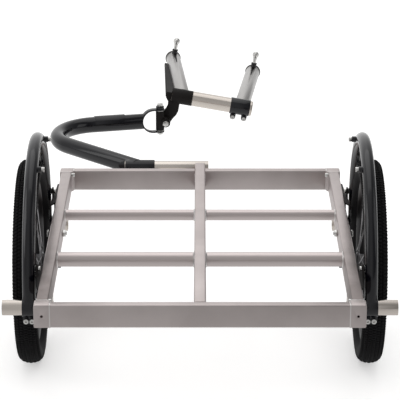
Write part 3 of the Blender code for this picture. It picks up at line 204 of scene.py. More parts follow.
def paint_shade_towards_rear(material, lit_tone, shaded_tone):
    """Paints shade on a material: its colour runs from a lit tone to a darker shaded tone towards the rear of the
    bed, in uneven patches.
    """
    tree = material.node_tree
    rear_share = ranged(tree, coordinate(tree, "Object", "Y"), 0.0, 1.0, SHADE_START_Y, SHADE_END_Y)
    patches = ranged(tree, grain(tree, 0.050, 3.0), -SHADE_PATCHES, SHADE_PATCHES, *CLOUD_SPREAD)
    shade_share = computed(tree, "ADD", rear_share, patches, use_clamp=True)
    tree.links.new(blended(tree, shade_share, lit_tone, shaded_tone), tree.nodes["Principled BSDF"].inputs["Base Color"])


blasted_aluminium = surface(
    "bead_blasted_aluminium", ("#c0b7b5", "#cac1bf"), clouds=(0.090, 3.0), Metallic=1.0, **BLASTED
)
# Side rails: this aluminium is painted darker towards the rear, down to #8e8684, as painted shade for their dimmer
# reflection there.
rail_aluminium_painted_shade = surface("side_rail_aluminium_painted_shade", "#c6bdbb", Metallic=1.0, **BLASTED)
paint_shade_towards_rear(rail_aluminium_painted_shade, "#c6bdbb", "#8e8684")
RIPPLE = (0.0020, 2.0)
weld_bead = surface("ground_weld_bead", "#dedad8", (0.26, 0.44), RIPPLE, RIPPLE, 0.00010, Metallic=1.0)
print("The rails darken from y", round(SHADE_START_Y, 3), "to", round(SHADE_END_Y, 3))

# %% [markdown]
# ## Polished and satin tube
# The crossbar of the hitch and the stub tubes are drawn aluminium tube, polished along their length.
# They mirror the room in long bright and dark bands. Polishing leaves hairlines along the tube, which
# show only as a slight streak in the gloss. The hitch's arms are anodised and the bed's cross tubes are
# left as drawn, so both have a satin gloss with the same kind of streaks.

# %% Polished and satin tube
ALONG_X = (0.08, 1.0, 1.0)
POLISH_LINES = (0.004, 3.0, ALONG_X)
polished_tube = surface(
    "polished_aluminium_tube", "#d6cec6", (0.12, 0.26), POLISH_LINES, POLISH_LINES, 0.00002, Metallic=1.0
)


def satin_tube(name, tone, along):
    """Satin tube, with streaks that are drawn out along the axis whose scale is small."""
    streaks = (0.003, 2.0, along)
    return surface(name, tone, (0.28, 0.40), streaks, streaks, 0.00003, Metallic=1.0)


satin_arm = satin_tube("satin_anodised_arm", "#b9b7b5", (1.0, 0.10, 1.0))
satin_cross_tube = satin_tube("satin_cross_tube", "#cdc3c1", (0.10, 1.0, 1.0))
print("Tube finishes:", polished_tube.name, satin_arm.name, satin_cross_tube.name)

# %% [markdown]
# ## Black powder coat
# The hoops, the drawbar and the hitch are steel, powder coated black. The powder melts into a glossy
# skin with a gentle orange peel, ripples about 2 mm across that soften the edge of each highlight. The
# yoke's plate, the swivel block and the stays have a matte coat instead.

# %% Black powder coat
ORANGE_PEEL = {"sheen": (0.045, 4.0), "relief": (0.0022, 1.0), "depth": 0.00002}
gloss_black = surface("gloss_black_powder_coat", "#09090f", (0.07, 0.17), IOR=1.5, **ORANGE_PEEL)
matte_black = surface("matte_black_powder_coat", "#130e0d", (0.58, 0.68), IOR=1.35, **ORANGE_PEEL)
print("Powder coats:", gloss_black.name, matte_black.name)

# %% [markdown]
# ## Rubber, plastic and steel
# The tyres are carbon-black rubber, dull and a little dusty in its hollows. The arms' end sockets are
# moulded nylon with a fine spark-eroded texture. Bolts and pins are zinc-plated steel, bright and
# slightly cloudy. The rims and hubs are anodised and the spokes are drawn stainless wire.

# %% Rubber, plastic and steel
RUBBER_BLOOM = (0.030, 4.0)
NYLON_TEXTURE = (0.0010, 2.0)
ZINC_CLOUD = (0.006, 3.0)
FINE_GRAIN = {"relief": (0.0012, 1.0), "depth": 0.00002}
tyre_rubber = surface(
    "tyre_rubber", ("#060507", "#0e0d0f"), (0.70, 0.88), RUBBER_BLOOM, (0.0015, 3.0), 0.00015,
    clouds=RUBBER_BLOOM, spread=(0.35, 0.70), IOR=1.30,
)
moulded_nylon = surface(
    "moulded_nylon", "#191819", (0.46, 0.60), NYLON_TEXTURE, NYLON_TEXTURE, 0.00006, IOR=1.53
)
zinc_plate = surface(
    "zinc_plated_steel", ("#c9c8c6", "#dfdedb"), (0.18, 0.32), ZINC_CLOUD,
    clouds=ZINC_CLOUD, spread=(0.3, 0.7), Metallic=1.0, **FINE_GRAIN,
)


def anodised(name, tone, gloss):
    """Dyed or drawn metal, half as metallic as bare metal."""
    return surface(name, tone, (gloss - 0.05, gloss + 0.07), (0.010, 3.0), Metallic=0.6, **FINE_GRAIN)


black_anodised = anodised("black_anodised_rim", "#1a191b", 0.36)
grey_anodised = anodised("grey_anodised_hub", "#6f6e70", 0.30)
spoke_wire = anodised("stainless_spoke_wire", "#8f8e90", 0.28)
print("Finishes so far:", len(bpy.data.materials))

# %% [markdown]
# ## Selecting and finishing by script
# Operators act on whatever is selected, so every step first deselects everything and then selects just
# what it means. A finished piece has its place in its mesh and its object at the origin, gets its
# material, and rides on the CAD body that it belongs to. Where it takes the place of CAD solids, those are
# hidden.


# %% Selection and finishing helpers
FINE_EDGE = 0.0004
EDGE = 0.0006
FLAT_ANGLE = 32.0
ROUND_ANGLE = 40.0
replaced = set()


def select_only(*things):
    """Leaves just these objects selected, the first of them active."""
    if bpy.context.mode != "OBJECT":
        bpy.ops.object.mode_set(mode="OBJECT")
    bpy.ops.object.select_all(action="DESELECT")
    for thing in things:
        thing.select_set(True)
    bpy.context.view_layer.objects.active = things[0] if things else None


def apply_modifier(thing, kind, **settings):
    """Adds a modifier, sets it and applies it, as the Apply button does."""
    select_only(thing)
    modifier = thing.modifiers.new(kind.lower(), kind)
    for name, value in settings.items():
        setattr(modifier, name, value)
    bpy.ops.object.modifier_apply(modifier=modifier.name)
    return thing


def soften(thing, width, segments=2, angle=30.0):
    """Rounds the edges that are sharper than angle degrees."""
    limit = math.radians(angle)
    settings = {"limit_method": "ANGLE", "angle_limit": limit, "harden_normals": False}
    return apply_modifier(thing, "BEVEL", width=width, segments=segments, **settings)


def stands_for(piece, *nodes):
    """Hides the CAD nodes that a rebuilt piece takes the place of; the piece itself is not used."""
    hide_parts(*nodes)
    replaced.update(nodes)


def settle(thing, name, body, material, slot, *nodes, smooth=FLAT_ANGLE):
    """Names a finished piece, shades it, hangs it on its body and lets it stand for CAD nodes."""
    select_only(thing)
    bpy.ops.object.transform_apply(location=True, rotation=True, scale=True)
    bpy.ops.object.shade_smooth_by_angle(angle=math.radians(smooth))
    thing.name = name
    thing.data.name = name
    thing.data.materials.clear()
    thing.data.materials.append(material)
    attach(thing, body)
    if nodes:
        stands_for(thing, *nodes)
    return thing


print("Edges are rounded by", FINE_EDGE * 1000, "or", EDGE * 1000, "mm")

# %% [markdown]
# ## Places and picks
# Everything is drawn about the world's origin and then put in its place by a matrix. Some tools of edit mode
# work on picked faces or edges only, so one helper picks them by where they lie and which way they point. A
# shape is closed up at the end: points that have met are merged, and all faces are turned outwards.


# %% Places and picks
MERGE = 0.000005


def fix_place(thing, matrix=None):
    """Moves a new object by matrix and makes its place part of its mesh."""
    if matrix is not None:
        thing.matrix_world = matrix @ thing.matrix_world
    select_only(thing)
    bpy.ops.object.transform_apply(location=True, rotation=True, scale=True)
    return thing


def aimed(origin, direction):
    """The matrix at origin whose local Z points along direction."""
    turn = Vector(direction).to_track_quat("Z", "Y").to_matrix().to_4x4()
    return Matrix.Translation(Vector(origin)) @ turn


def pick(thing, kind="FACE", test=lambda middle, normal: True):
    """Enters edit mode with just the faces or edges selected whose middle and direction pass the test."""
    select_only(thing)
    bpy.ops.object.mode_set(mode="EDIT")
    bpy.ops.mesh.select_mode(type=kind)
    bpy.ops.mesh.select_all(action="DESELECT")
    bpy.ops.object.mode_set(mode="OBJECT")
    mesh = thing.data
    if kind == "FACE":
        for face in mesh.polygons:
            face.select = test(face.center, face.normal)
    else:
        for edge in mesh.edges:
            first, second = (mesh.vertices[index].co for index in edge.vertices)
            edge.select = test((first + second) / 2, (second - first).normalized())
    bpy.ops.object.mode_set(mode="EDIT")


def close_up():
    """Merges doubles, turns all faces outwards and leaves edit mode."""
    bpy.ops.mesh.select_all(action="SELECT")
    bpy.ops.mesh.remove_doubles(threshold=MERGE)
    bpy.ops.mesh.normals_make_consistent(inside=False)
    bpy.ops.object.mode_set(mode="OBJECT")


def push(step):
    """Extrudes what is selected by a step."""
    bpy.ops.mesh.extrude_region_move(TRANSFORM_OT_translate={"value": step})


print("Points closer than", MERGE * 1000, "mm are merged")

# %% [markdown]
# ## Outlines
# Most parts of the trailer are made in a lathe or a saw, so they start from an outline. It is drawn by
# extruding one vertex from point to point. Half of a symmetric profile is mirrored, and a rounded part of
# one is filled in with the points of an arc.


# %% Outlines
def traced(points):
    """A wire through the points, drawn by extruding one vertex; it is left in edit mode."""
    select_only()
    bpy.ops.mesh.primitive_plane_add(size=0.0001, location=points[0])
    wire = fix_place(bpy.context.object)
    bpy.ops.object.mode_set(mode="EDIT")
    bpy.ops.mesh.select_mode(type="VERT")
    bpy.ops.mesh.select_all(action="SELECT")
    bpy.ops.mesh.merge(type="CENTER")
    for here, there in zip(points, points[1:]):
        step = Vector(there) - Vector(here)
        bpy.ops.mesh.extrude_vertices_move(TRANSFORM_OT_translate={"value": step})
    bpy.ops.mesh.select_all(action="SELECT")
    bpy.ops.mesh.remove_doubles(threshold=MERGE)
    return wire


def mirrored(profile):
    """A profile's points the other way up, in reverse, so that they close a symmetric section."""
    return [(radius, -across) for radius, across in reversed(profile)]


def arc(middle, radius, start, end, steps):
    """Points on an arc between two angles in degrees."""
    turns = [math.radians(start + (end - start) * step / steps) for step in range(steps + 1)]
    return [(middle[0] + radius * math.cos(turn), middle[1] + radius * math.sin(turn)) for turn in turns]


print("An arc of two steps has", len(arc((0, 0), 1, 0, 90, 2)), "points")

# %% [markdown]
# ## Turning and sawing
# Each tool below does one job of a workshop: turning, sawing out a plate, cutting a length of bar and boring
# a tube. Spinning an outline about a line gives a turned part, and filling and extruding it gives a plate. A
# profile is a list of (radius, height) points about the Z axis.


# %% Turning and sawing
TURN = 2 * math.pi
ORIGIN, UP = (0, 0, 0), (0, 0, 1)
TUBE_WALL = 0.002


def lathe(profile, matrix=None, steps=64, ring=False):
    """A part turned about Z from (radius, height) points; a ring's section closes on itself."""
    points = [(radius, 0.0, height) for radius, height in profile]
    part = traced(points + points[:1] if ring else points)
    bpy.ops.mesh.spin(steps=steps, angle=TURN, center=ORIGIN, axis=UP)
    close_up()
    return fix_place(part, matrix)


def plate(outline, thickness, matrix):
    """A flat plate from an outline in the XY plane, thick along Z and centred on it."""
    part = traced([(x, y, -thickness / 2) for x, y in [*outline, outline[0]]])
    bpy.ops.mesh.edge_face_add()
    push((0, 0, thickness))
    close_up()
    return fix_place(part, matrix)


def round_bar(start, end, radius, sides=64):
    """A cylinder primitive between two points, the raw stock of a tube or a drill's cut."""
    start, end = Vector(start), Vector(end)
    select_only()
    bpy.ops.mesh.primitive_cylinder_add(vertices=sides, radius=radius, depth=(end - start).length)
    return fix_place(bpy.context.object, aimed((start + end) / 2, end - start))


def box_bar(low, high):
    """A cube primitive between two corners."""
    low, high = Vector(low), Vector(high)
    select_only()
    bpy.ops.mesh.primitive_cube_add(size=1.0, location=(low + high) / 2, scale=high - low)
    return fix_place(bpy.context.object)


def bored_tube(start, end, outer, sides=64):
    """A tube: both ends of a bar are inset, and the inner rings are bridged into a bore."""
    tube = round_bar(start, end, outer, sides)
    along = (Vector(end) - Vector(start)).normalized()
    pick(tube, "FACE", lambda middle, normal: abs(normal.dot(along)) > 0.99)
    bpy.ops.mesh.inset(thickness=TUBE_WALL)
    bpy.ops.mesh.bridge_edge_loops()
    bpy.ops.object.mode_set(mode="OBJECT")
    return tube


print("Tube walls:", TUBE_WALL * 1000, "mm")

# %% [markdown]
# ## Welding, drilling and copying
# Welded parts are joined with a Boolean modifier, and the same modifier cuts holes and notches, as a drill or
# a hole saw does. Parts that only touch are put into one object. What repeats round a wheel is made once and
# spun as duplicates, and both wheels are made about Z and then laid on their axles.


# %% Welding, drilling and copying
LEFT, RIGHT = -1, 1
SIDE_NAMES = {LEFT: "left", RIGHT: "right"}


def combined(thing, operation, *tools):
    """Adds or cuts the tools, which are used up."""
    for tool in tools:
        apply_modifier(thing, "BOOLEAN", operation=operation, solver="EXACT", object=tool)
        bpy.data.objects.remove(tool)
    return thing


def joined(*parts):
    """Makes one object of several that only touch or stand apart."""
    select_only(*parts)
    bpy.ops.object.join()
    return bpy.context.object


def copied_round(thing, copies):
    """Adds copies of all of a thing's faces, evenly spaced round Z."""
    pick(thing)
    turned = TURN * (copies - 1) / copies
    bpy.ops.mesh.spin(steps=copies - 1, angle=turned, dupli=True, center=ORIGIN, axis=UP)
    bpy.ops.object.mode_set(mode="OBJECT")
    return thing


def turn_to_axle(side):
    """The matrix that lays a turned part's Z along a wheel's axle, outwards."""
    middle = joints[f"{SIDE_NAMES[side]}_wheel_spin"]["pos_m"]
    return aimed(middle, (side, 0, 0))


print("Sides:", SIDE_NAMES)

# %% [markdown]
# ## Tyres with a block tread
# The tyre is a wide 16 inch one. Its casing is turned from a section that leaves the rim's hook, bulges to
# its full width and rounds over the crown, a little lower than the CAD tyre. The tread blocks bring it
# back to full height. A block is a cube whose top is drawn in, as a mould needs for its draft. It is spun
# round the wheel as duplicates, in rows that are set half a block apart.

# %% Tyres
TYRE_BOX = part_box("tyre_left")
WHEEL_RADIUS = (TYRE_BOX[1].z - TYRE_BOX[0].z) / 2
TYRE_HALF = (TYRE_BOX[1].x - TYRE_BOX[0].x) / 2
RIM_EDGE = (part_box("rim_left")[1].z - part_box("rim_left")[0].z) / 2
WHEEL_STEPS = 120
BLOCK_HEIGHT = 0.0030
BLOCK_LENGTH = 0.0050
SHOULDER_BLOCK_LENGTH = 0.0038
BLOCK_DRAFT = (0.74, 0.78, 1.0)
BLOCK_ROWS = 180


def tread_row(across, drop, lean, length, width, offset):
    """One row of blocks round the wheel: across is its place on the tread, lean how far it tips."""
    block = box_bar((-width / 2, -length / 2, -BLOCK_HEIGHT), (width / 2, length / 2, 0))
    pick(block, "FACE", lambda middle, normal: normal.z > 0.9)
    bpy.ops.transform.resize(value=BLOCK_DRAFT)
    bpy.ops.object.mode_set(mode="OBJECT")
    soften(block, FINE_EDGE, 1)
    tip = Matrix.Rotation(math.radians(90 - lean), 4, "Y")
    fix_place(block, Matrix.Translation((WHEEL_RADIUS - drop, 0, across)) @ tip)
    fix_place(block, Matrix.Rotation(offset * TURN / BLOCK_ROWS, 4, "Z"))
    return copied_round(block, BLOCK_ROWS)


def tyre_blank():
    """A tyre about Z at the origin, from which both wheels' tyres are copied."""
    crown, half = WHEEL_RADIUS - 0.0022, TYRE_HALF - 0.0010
    wall = [(-0.004, 0.0088), (0.002, 0.0118), (0.006, 0.0175)]
    bulge = [(0.011, 0.0022), (0.0165, 0.0003), (0.0205, 0)]
    shoulder = [(0.0145, 0.0006), (0.0105, 0.0014), (0.0070, 0.0038)]
    shoulder += [(0.0040, 0.0080), (0.0018, 0.0130), (0.0004, 0.0190)]
    flank = [(RIM_EDGE + out, across) for out, across in wall]
    flank += [(RIM_EDGE + out, half - inwards) for out, inwards in bulge]
    flank += [(crown - drop, half - inwards) for drop, inwards in shoulder]
    inside = [(RIM_EDGE + 0.003, -0.006), (crown - 0.004, 0.0), (RIM_EDGE + 0.003, 0.006)]
    tyre = lathe(flank + mirrored(flank) + inside, steps=WHEEL_STEPS, ring=True)
    rows = [tread_row(0.0, 0.0, 0, BLOCK_LENGTH, 0.0062, 0.0)]
    for way in (1, -1):
        rows.append(tread_row(way * 0.0082, 0.0011, way * 12, BLOCK_LENGTH, 0.0064, 0.5))
        rows.append(tread_row(way * 0.0158, 0.0038, way * 32, BLOCK_LENGTH, 0.0066, 0.0))
        rows.append(tread_row(way * 0.0218, 0.0096, way * 60, SHOULDER_BLOCK_LENGTH, 0.0070, 0.5))
    return joined(tyre, *rows)


blank_tyre = tyre_blank()
for side, name in SIDE_NAMES.items():
    select_only(blank_tyre)
    bpy.ops.object.duplicate()
    tyre = fix_place(bpy.context.object, turn_to_axle(side))
    title, wheel = f"block_tread_tyre_{name}", f"{name}_wheel"
    settle(tyre, title, wheel, tyre_rubber, "tyre", f"tyre_{name}", smooth=ROUND_ANGLE)
bpy.data.objects.remove(blank_tyre)
print("Tyre faces:", len(tyre.data.polygons))

# %% [markdown]
# ## Rims and hubs
# The rim is an extruded section rolled into a hoop, with a hooked edge that holds the tyre's bead and a
# well for the spokes' ends. The hub is turned, with a flange at each side and a bored seat at each end for
# a bearing. Both are symmetric, so only one half of each profile is written.

# %% Rims and hubs
HUB_HALF = 0.0327
HUB_SEAT_RADIUS = 0.0113
HUB_SEAT_DEPTH = 0.007
HUB_BORE = 0.0073
FLANGE_OUT = 0.022
FLANGE_RADIUS = 0.024


def make_rim(side, name):
    inner, edge = RIM_EDGE - 0.017, RIM_EDGE
    upper = [(inner, 0.0058), (inner + 0.0012, 0.0072), (edge - 0.0078, 0.0112), (edge - 0.0050, 0.0128)]
    upper += [(edge - 0.0006, 0.0130), (edge, 0.0126), (edge, 0.0116), (edge - 0.0008, 0.0112)]
    upper += [(edge - 0.0045, 0.0109), (edge - 0.0068, 0.0098), (edge - 0.0075, 0.0080)]
    rim = lathe(upper + mirrored(upper), turn_to_axle(side), steps=WHEEL_STEPS, ring=True)
    settle(rim, f"hooked_rim_{name}", f"{name}_wheel", black_anodised, "rim_black", f"rim_{name}")


def make_hub(side, name):
    end, flange, reach = HUB_HALF - 0.0004, FLANGE_OUT, FLANGE_RADIUS
    shell = [(HUB_SEAT_RADIUS, end), (0.0136, end), (0.0140, end - 0.0004), (0.0140, flange + 0.0016)]
    shell += [(0.0156, flange), (reach - 0.0004, flange), (reach, flange - 0.0004), (reach, flange - 0.0026)]
    shell += [(reach - 0.0004, flange - 0.0030), (0.0160, flange - 0.0030), (0.0132, flange - 0.0056)]
    seat = HUB_HALF - HUB_SEAT_DEPTH
    bore = [(HUB_SEAT_RADIUS, -seat), (HUB_BORE, -seat), (HUB_BORE, seat), (HUB_SEAT_RADIUS, seat)]
    hub = lathe(shell + mirrored(shell) + bore, turn_to_axle(side), ring=True)
    settle(hub, f"turned_hub_{name}", f"{name}_wheel", grey_anodised, "hub_grey", f"hub_{name}")


for side, name in SIDE_NAMES.items():
    make_rim(side, name)
    make_hub(side, name)
print("Rim edge radius:", round(RIM_EDGE, 4))

# %% [markdown]
# ## Spokes and valves
# Twenty steel spokes run from the flanges to plated nipples in the rim. They pull forwards and backwards
# in turn, on either flange, which makes four directions. One spoke with its nipple is made for each of
# the four and copied round. The valve stands in the rim between two spokes.

# %% Spokes and valves
SPOKES = 20
LACING = 4
SPOKE_LEAD = 50.0
SPOKE_RADIUS = 0.0010
SPOKE_HEAD_RADIUS = 0.0021
SPOKE_HEAD_HALF = Vector((0, 0, 0.0014))
NIPPLE = ((0, -0.012), (0.0017, -0.012), (0.0019, -0.0116), (0.0019, -0.002), (0.0028, 0), (0, 0))
VALVE = ((0, 0.030), (0.0026, 0.030), (0.0030, 0.0296), (0.0030, 0.018), (0.0040, 0.0176))
VALVE_FOOT = ((0.0040, 0.004), (0.0060, 0.002), (0.0060, 0.0), (0, 0.0))


def spoke_ends(index):
    """Where a spoke leaves the hub's flange and where it ends at the rim, about the axle as Z."""
    turn = TURN * index / SPOKES
    flange = 1 if index % 2 else -1
    pulling = index % LACING < 2
    face = FLANGE_OUT + 0.0006 if pulling else FLANGE_OUT - 0.0036
    lead = math.radians(SPOKE_LEAD) * (1 if pulling else -1)
    root, reach = FLANGE_RADIUS - 0.004, RIM_EDGE - 0.0172
    start = Vector((root * math.cos(turn + lead), root * math.sin(turn + lead), flange * face))
    return start, Vector((reach * math.cos(turn), reach * math.sin(turn), flange * 0.003))


def make_spokes(side, name):
    wires, nipples = [], []
    for index in range(LACING):
        start, end = spoke_ends(index)
        wire = round_bar(start, end, SPOKE_RADIUS, 8)
        head = round_bar(start - SPOKE_HEAD_HALF, start + SPOKE_HEAD_HALF, SPOKE_HEAD_RADIUS, 12)
        wires.append(joined(wire, soften(head, FINE_EDGE, 1)))
        nipples.append(lathe(NIPPLE, aimed(end, (end - start).normalized()), steps=12))
    for parts, label, finish, slot in (
        (wires, "spokes", spoke_wire, "hub_grey"), (nipples, "spoke_nipples", zinc_plate, "bright_steel")
    ):
        laced = fix_place(copied_round(joined(*parts), SPOKES // LACING), turn_to_axle(side))
        settle(laced, f"{label}_{name}", f"{name}_wheel", finish, slot)


def make_valve(side, name):
    turn = math.pi / SPOKES
    way = Vector((math.cos(turn), math.sin(turn), 0))
    valve = lathe(VALVE + VALVE_FOOT, aimed(way * (RIM_EDGE - 0.0165), -way), steps=24)
    fix_place(valve, turn_to_axle(side))
    settle(valve, f"tyre_valve_{name}", f"{name}_wheel", moulded_nylon, "black_plastic")


for side, name in SIDE_NAMES.items():
    make_spokes(side, name)
    make_valve(side, name)
print("Each wheel has", SPOKES, "spokes")

# %% [markdown]
# ## Screws with hexagon sockets
# The hoops and clamps are held by bright cap screws. A cap screw is a short cylinder with a softened rim
# and a hexagon socket drilled most of the way into its head. The sockets read as dark dots from afar.


# %% Cap screws and nuts
SOCKET_SHARE = 0.52
SOCKET_FLOOR = 0.25
SCREW_SIDES = 32
HEAD_ROUNDING = 0.12
NUT_ROUNDING = 0.10
BITE = 0.001


def cap_screw(seat, direction, radius, height):
    """A screw's head that stands on seat and points along direction, with a hexagon socket."""
    seat, direction = Vector(seat), Vector(direction).normalized()
    head = round_bar(seat, seat + direction * height, radius, SCREW_SIDES)
    soften(head, radius * HEAD_ROUNDING)
    low, high = seat + direction * height * SOCKET_FLOOR, seat + direction * (height + BITE)
    return combined(head, "DIFFERENCE", round_bar(low, high, radius * SOCKET_SHARE, 6))


def hexagon_nut(seat, direction, radius, height):
    """A nut that stands on seat, its corners drawn in at the top."""
    seat, direction = Vector(seat), Vector(direction).normalized()
    nut = round_bar(seat, seat + direction * height, radius, 6)
    return soften(nut, radius * NUT_ROUNDING)


print("A socket is", SOCKET_SHARE, "of its head's radius")

# %% [markdown]
# ## Pinch clamps
# The hoops, the drawbar and the right arm all end in the same kind of clamp: a bored sleeve, rounded ears
# under it, a slit between the ears and two bolts that pull them together. One function makes it about the
# world's X axis with the ears hanging down, and a matrix takes it to its place. The bore and the slit are
# cut last, once the clamp has been joined to its tube, so that they pass through both.


# %% Pinch clamps
GAP = 0.0003
EAR_RADIUS = 0.0065
EAR_ROUNDING = 0.98
EAR_REACH = 0.00825
EAR_BOLT_DROP = 0.006
CLAMP_SLIT = 0.0025
PINCH_HEAD = (0.0050, 0.0050)
PINCH_NUT = (0.0050, 0.0040)
PINCH_SHANK_RADIUS = 0.0025


def clamp_ears(radius, spacing):
    """The solid ears: one about each bolt, or one about both where the bolts are close."""
    drop = radius + EAR_BOLT_DROP
    if spacing < 2 * EAR_RADIUS:
        spans = [(-spacing / 2 - EAR_RADIUS, spacing / 2 + EAR_RADIUS)]
    else:
        spans = [(place - EAR_RADIUS, place + EAR_RADIUS) for place in (-spacing / 2, spacing / 2)]
    ears = []
    for low, high in spans:
        ear = box_bar((low, -EAR_REACH, -drop - EAR_RADIUS), (high, EAR_REACH, 0))
        pick(ear, "EDGE", lambda middle, along: middle.z < -drop and abs(along.y) > 0.99)
        bpy.ops.mesh.bevel(offset=EAR_RADIUS * EAR_ROUNDING, segments=8, affect="EDGES")
        bpy.ops.object.mode_set(mode="OBJECT")
        ears.append(ear)
    return ears


def add_clamp(tube, matrix, grip, radius, length, spacing, cut_length):
    """Joins a clamp to its tube, or makes a clamp alone, then drills its bore and saws its slit."""
    sleeve = round_bar((-length / 2, 0, 0), (length / 2, 0, 0), radius)
    clamp = fix_place(combined(sleeve, "UNION", *clamp_ears(radius, spacing)), matrix)
    whole = clamp if tube is None else combined(tube, "UNION", clamp)
    bore = fix_place(round_bar((-cut_length, 0, 0), (cut_length, 0, 0), grip + GAP), matrix)
    low = (-cut_length, -CLAMP_SLIT / 2, -3 * radius)
    slit = fix_place(box_bar(low, (cut_length, CLAMP_SLIT / 2, 0)), matrix)
    return combined(whole, "DIFFERENCE", bore, slit)


def pinch_bolts(matrix, radius, spacing):
    """The two bolts of a clamp with their nuts, as one piece."""
    drop, parts = radius + EAR_BOLT_DROP, []
    for place in (-spacing / 2, spacing / 2):
        parts.append(cap_screw((place, -EAR_REACH, -drop), (0, -1, 0), *PINCH_HEAD))
        parts.append(hexagon_nut((place, EAR_REACH, -drop), (0, 1, 0), *PINCH_NUT))
        shank = (place, -CLAMP_SLIT, -drop), (place, CLAMP_SLIT, -drop)
        parts.append(round_bar(*shank, PINCH_SHANK_RADIUS, 16))
    return fix_place(joined(*parts), matrix)


print("Clamp slit:", CLAMP_SLIT * 1000, "mm")

# %% [markdown]
# ## Guard hoops
# A hoop is one tube bent to a half circle. A ring of vertices is the tube's section: it is extruded up out
# of the front clamp, spun half way round and extruded down into the rear clamp. Short bosses stand on its
# inner side, each closed by a bright cap screw: the low ones hold the stays, the high ones a mudguard.

# %% Guard hoops
HOOP_RADIUS = 0.240
HOOP_TUBE = 0.0125
HOOP_OUT = 0.3260
HOOP_MIDDLE_Z = 0.2125
STUB_Z = 0.1995
STUB_RADIUS = 0.0150
HOOP_CLAMP = (0.0182, 0.026, 0.0116)
HOOP_CUT_SHARE = 0.6
HOOP_EDGE = 0.0005
BOSS_ANGLES = {15.3: "low", 65.5: "high", 114.5: "high", 164.7: "low"}
BOSS_REACH = {"low": 0.002, "high": 0.006}
BOSS_RADIUS = 0.0060
BOSS_SCREW_HEIGHT = {"low": 0.0045, "high": 0.0065}
BOSS_SCREW_RADIUS = 0.0048
STAY_THICKNESS = 0.003
WHEEL_Y = joints["left_wheel_spin"]["pos_m"][1]


def bent_hoop(out):
    """The hoop's tube, from its front foot over the wheel to its rear foot."""
    select_only()
    foot, middle = (out, WHEEL_Y + HOOP_RADIUS, STUB_Z), (out, WHEEL_Y, HOOP_MIDDLE_Z)
    rise = HOOP_MIDDLE_Z - STUB_Z
    bpy.ops.mesh.primitive_circle_add(vertices=32, radius=HOOP_TUBE, location=foot)
    hoop = fix_place(bpy.context.object)
    bpy.ops.object.mode_set(mode="EDIT")
    bpy.ops.mesh.select_mode(type="EDGE")
    bpy.ops.mesh.select_all(action="SELECT")
    push((0, 0, rise))
    bpy.ops.mesh.spin(steps=80, angle=math.pi, center=middle, axis=(-1, 0, 0))
    push((0, 0, -rise))
    bpy.ops.mesh.select_all(action="SELECT")
    bpy.ops.mesh.fill_holes(sides=64)
    close_up()
    return hoop


def make_hoop(side, name):
    hoop, bolts, out = bent_hoop(side * HOOP_OUT), [], side * HOOP_OUT
    for angle, height in BOSS_ANGLES.items():
        turn = math.radians(angle)
        place = (WHEEL_Y + HOOP_RADIUS * math.cos(turn), HOOP_MIDDLE_Z + HOOP_RADIUS * math.sin(turn))
        reach = HOOP_OUT - HOOP_TUBE - BOSS_REACH[height]
        grip = reach - (STAY_THICKNESS + 2 * GAP if height == "low" else 0)
        boss = round_bar((out, *place), (side * reach, *place), BOSS_RADIUS, SCREW_SIDES)
        combined(hoop, "UNION", soften(boss, EDGE))
        screw = BOSS_SCREW_RADIUS, BOSS_SCREW_HEIGHT[height]
        bolts.append(cap_screw((side * grip, *place), (-side, 0, 0), *screw))
    radius, length, spacing = HOOP_CLAMP
    for end in (1, -1):
        matrix = Matrix.Translation((out, WHEEL_Y + end * HOOP_RADIUS, STUB_Z))
        add_clamp(hoop, matrix, STUB_RADIUS, *HOOP_CLAMP, length * HOOP_CUT_SHARE)
        bolts.append(pinch_bolts(matrix, radius, spacing))
    soften(hoop, HOOP_EDGE, angle=ROUND_ANGLE)
    title = f"guard_hoop_{name}"
    settle(hoop, title, "chassis", gloss_black, "black_paint", f"hoop_{name}", smooth=ROUND_ANGLE)
    settle(joined(*bolts), f"hoop_screws_{name}", "chassis", zinc_plate, "bright_steel")
    return hoop


hoops = [make_hoop(side, name) for side, name in SIDE_NAMES.items()]
print("Hoop faces:", [len(hoop.data.polygons) for hoop in hoops])

# %% [markdown]
# ## Stub tubes and cross tubes
# The hoops are clamped on short polished tubes, each welded to a saddle under a side rail, and four tubes
# cross the bed from its beam to its side rails. Each is drawn tube with an open bore.

# %% Stub tubes and cross tubes
SADDLE_HALF = 0.012
SADDLE_FOOT_Z = STUB_Z + STUB_RADIUS * 0.6


def nodes_named(start):
    """The CAD nodes whose names start so, in order."""
    return sorted(node for node in frame["nodes"] if node.startswith(start))


def make_stub(node):
    low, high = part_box(node)
    place = (low.y + high.y) / 2
    tube = bored_tube((low.x, place, STUB_Z), (high.x, place, STUB_Z), STUB_RADIUS)
    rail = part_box("side_rail_left" if node.endswith("left") else "side_rail_right")
    saddle_low = (rail[0].x + BITE, place - SADDLE_HALF, SADDLE_FOOT_Z)
    saddle = box_bar(saddle_low, (rail[1].x - BITE, place + SADDLE_HALF, rail[0].z - GAP))
    bore = round_bar((low.x - BITE, place, STUB_Z), (high.x + BITE, place, STUB_Z), STUB_RADIUS - TUBE_WALL)
    combined(combined(tube, "UNION", saddle), "DIFFERENCE", bore)
    soften(tube, FINE_EDGE, angle=ROUND_ANGLE)
    title = node.replace("stub_tube", "polished_stub")
    settle(tube, title, "chassis", polished_tube, "polished_aluminium", node)


def make_cross_tube(node):
    low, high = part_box(node)
    middle, radius = (low + high) / 2, (high.y - low.y) / 2
    tube = bored_tube((low.x, middle.y, middle.z), (high.x, middle.y, middle.z), radius)
    settle(tube, f"drawn_{node}", "chassis", satin_cross_tube, "aluminium", node)


for node in nodes_named("stub_tube_"):
    make_stub(node)
for node in nodes_named("cross_tube_"):
    make_cross_tube(node)
print("Stubs and cross tubes:", len(nodes_named("stub_tube_")), len(nodes_named("cross_tube_")))

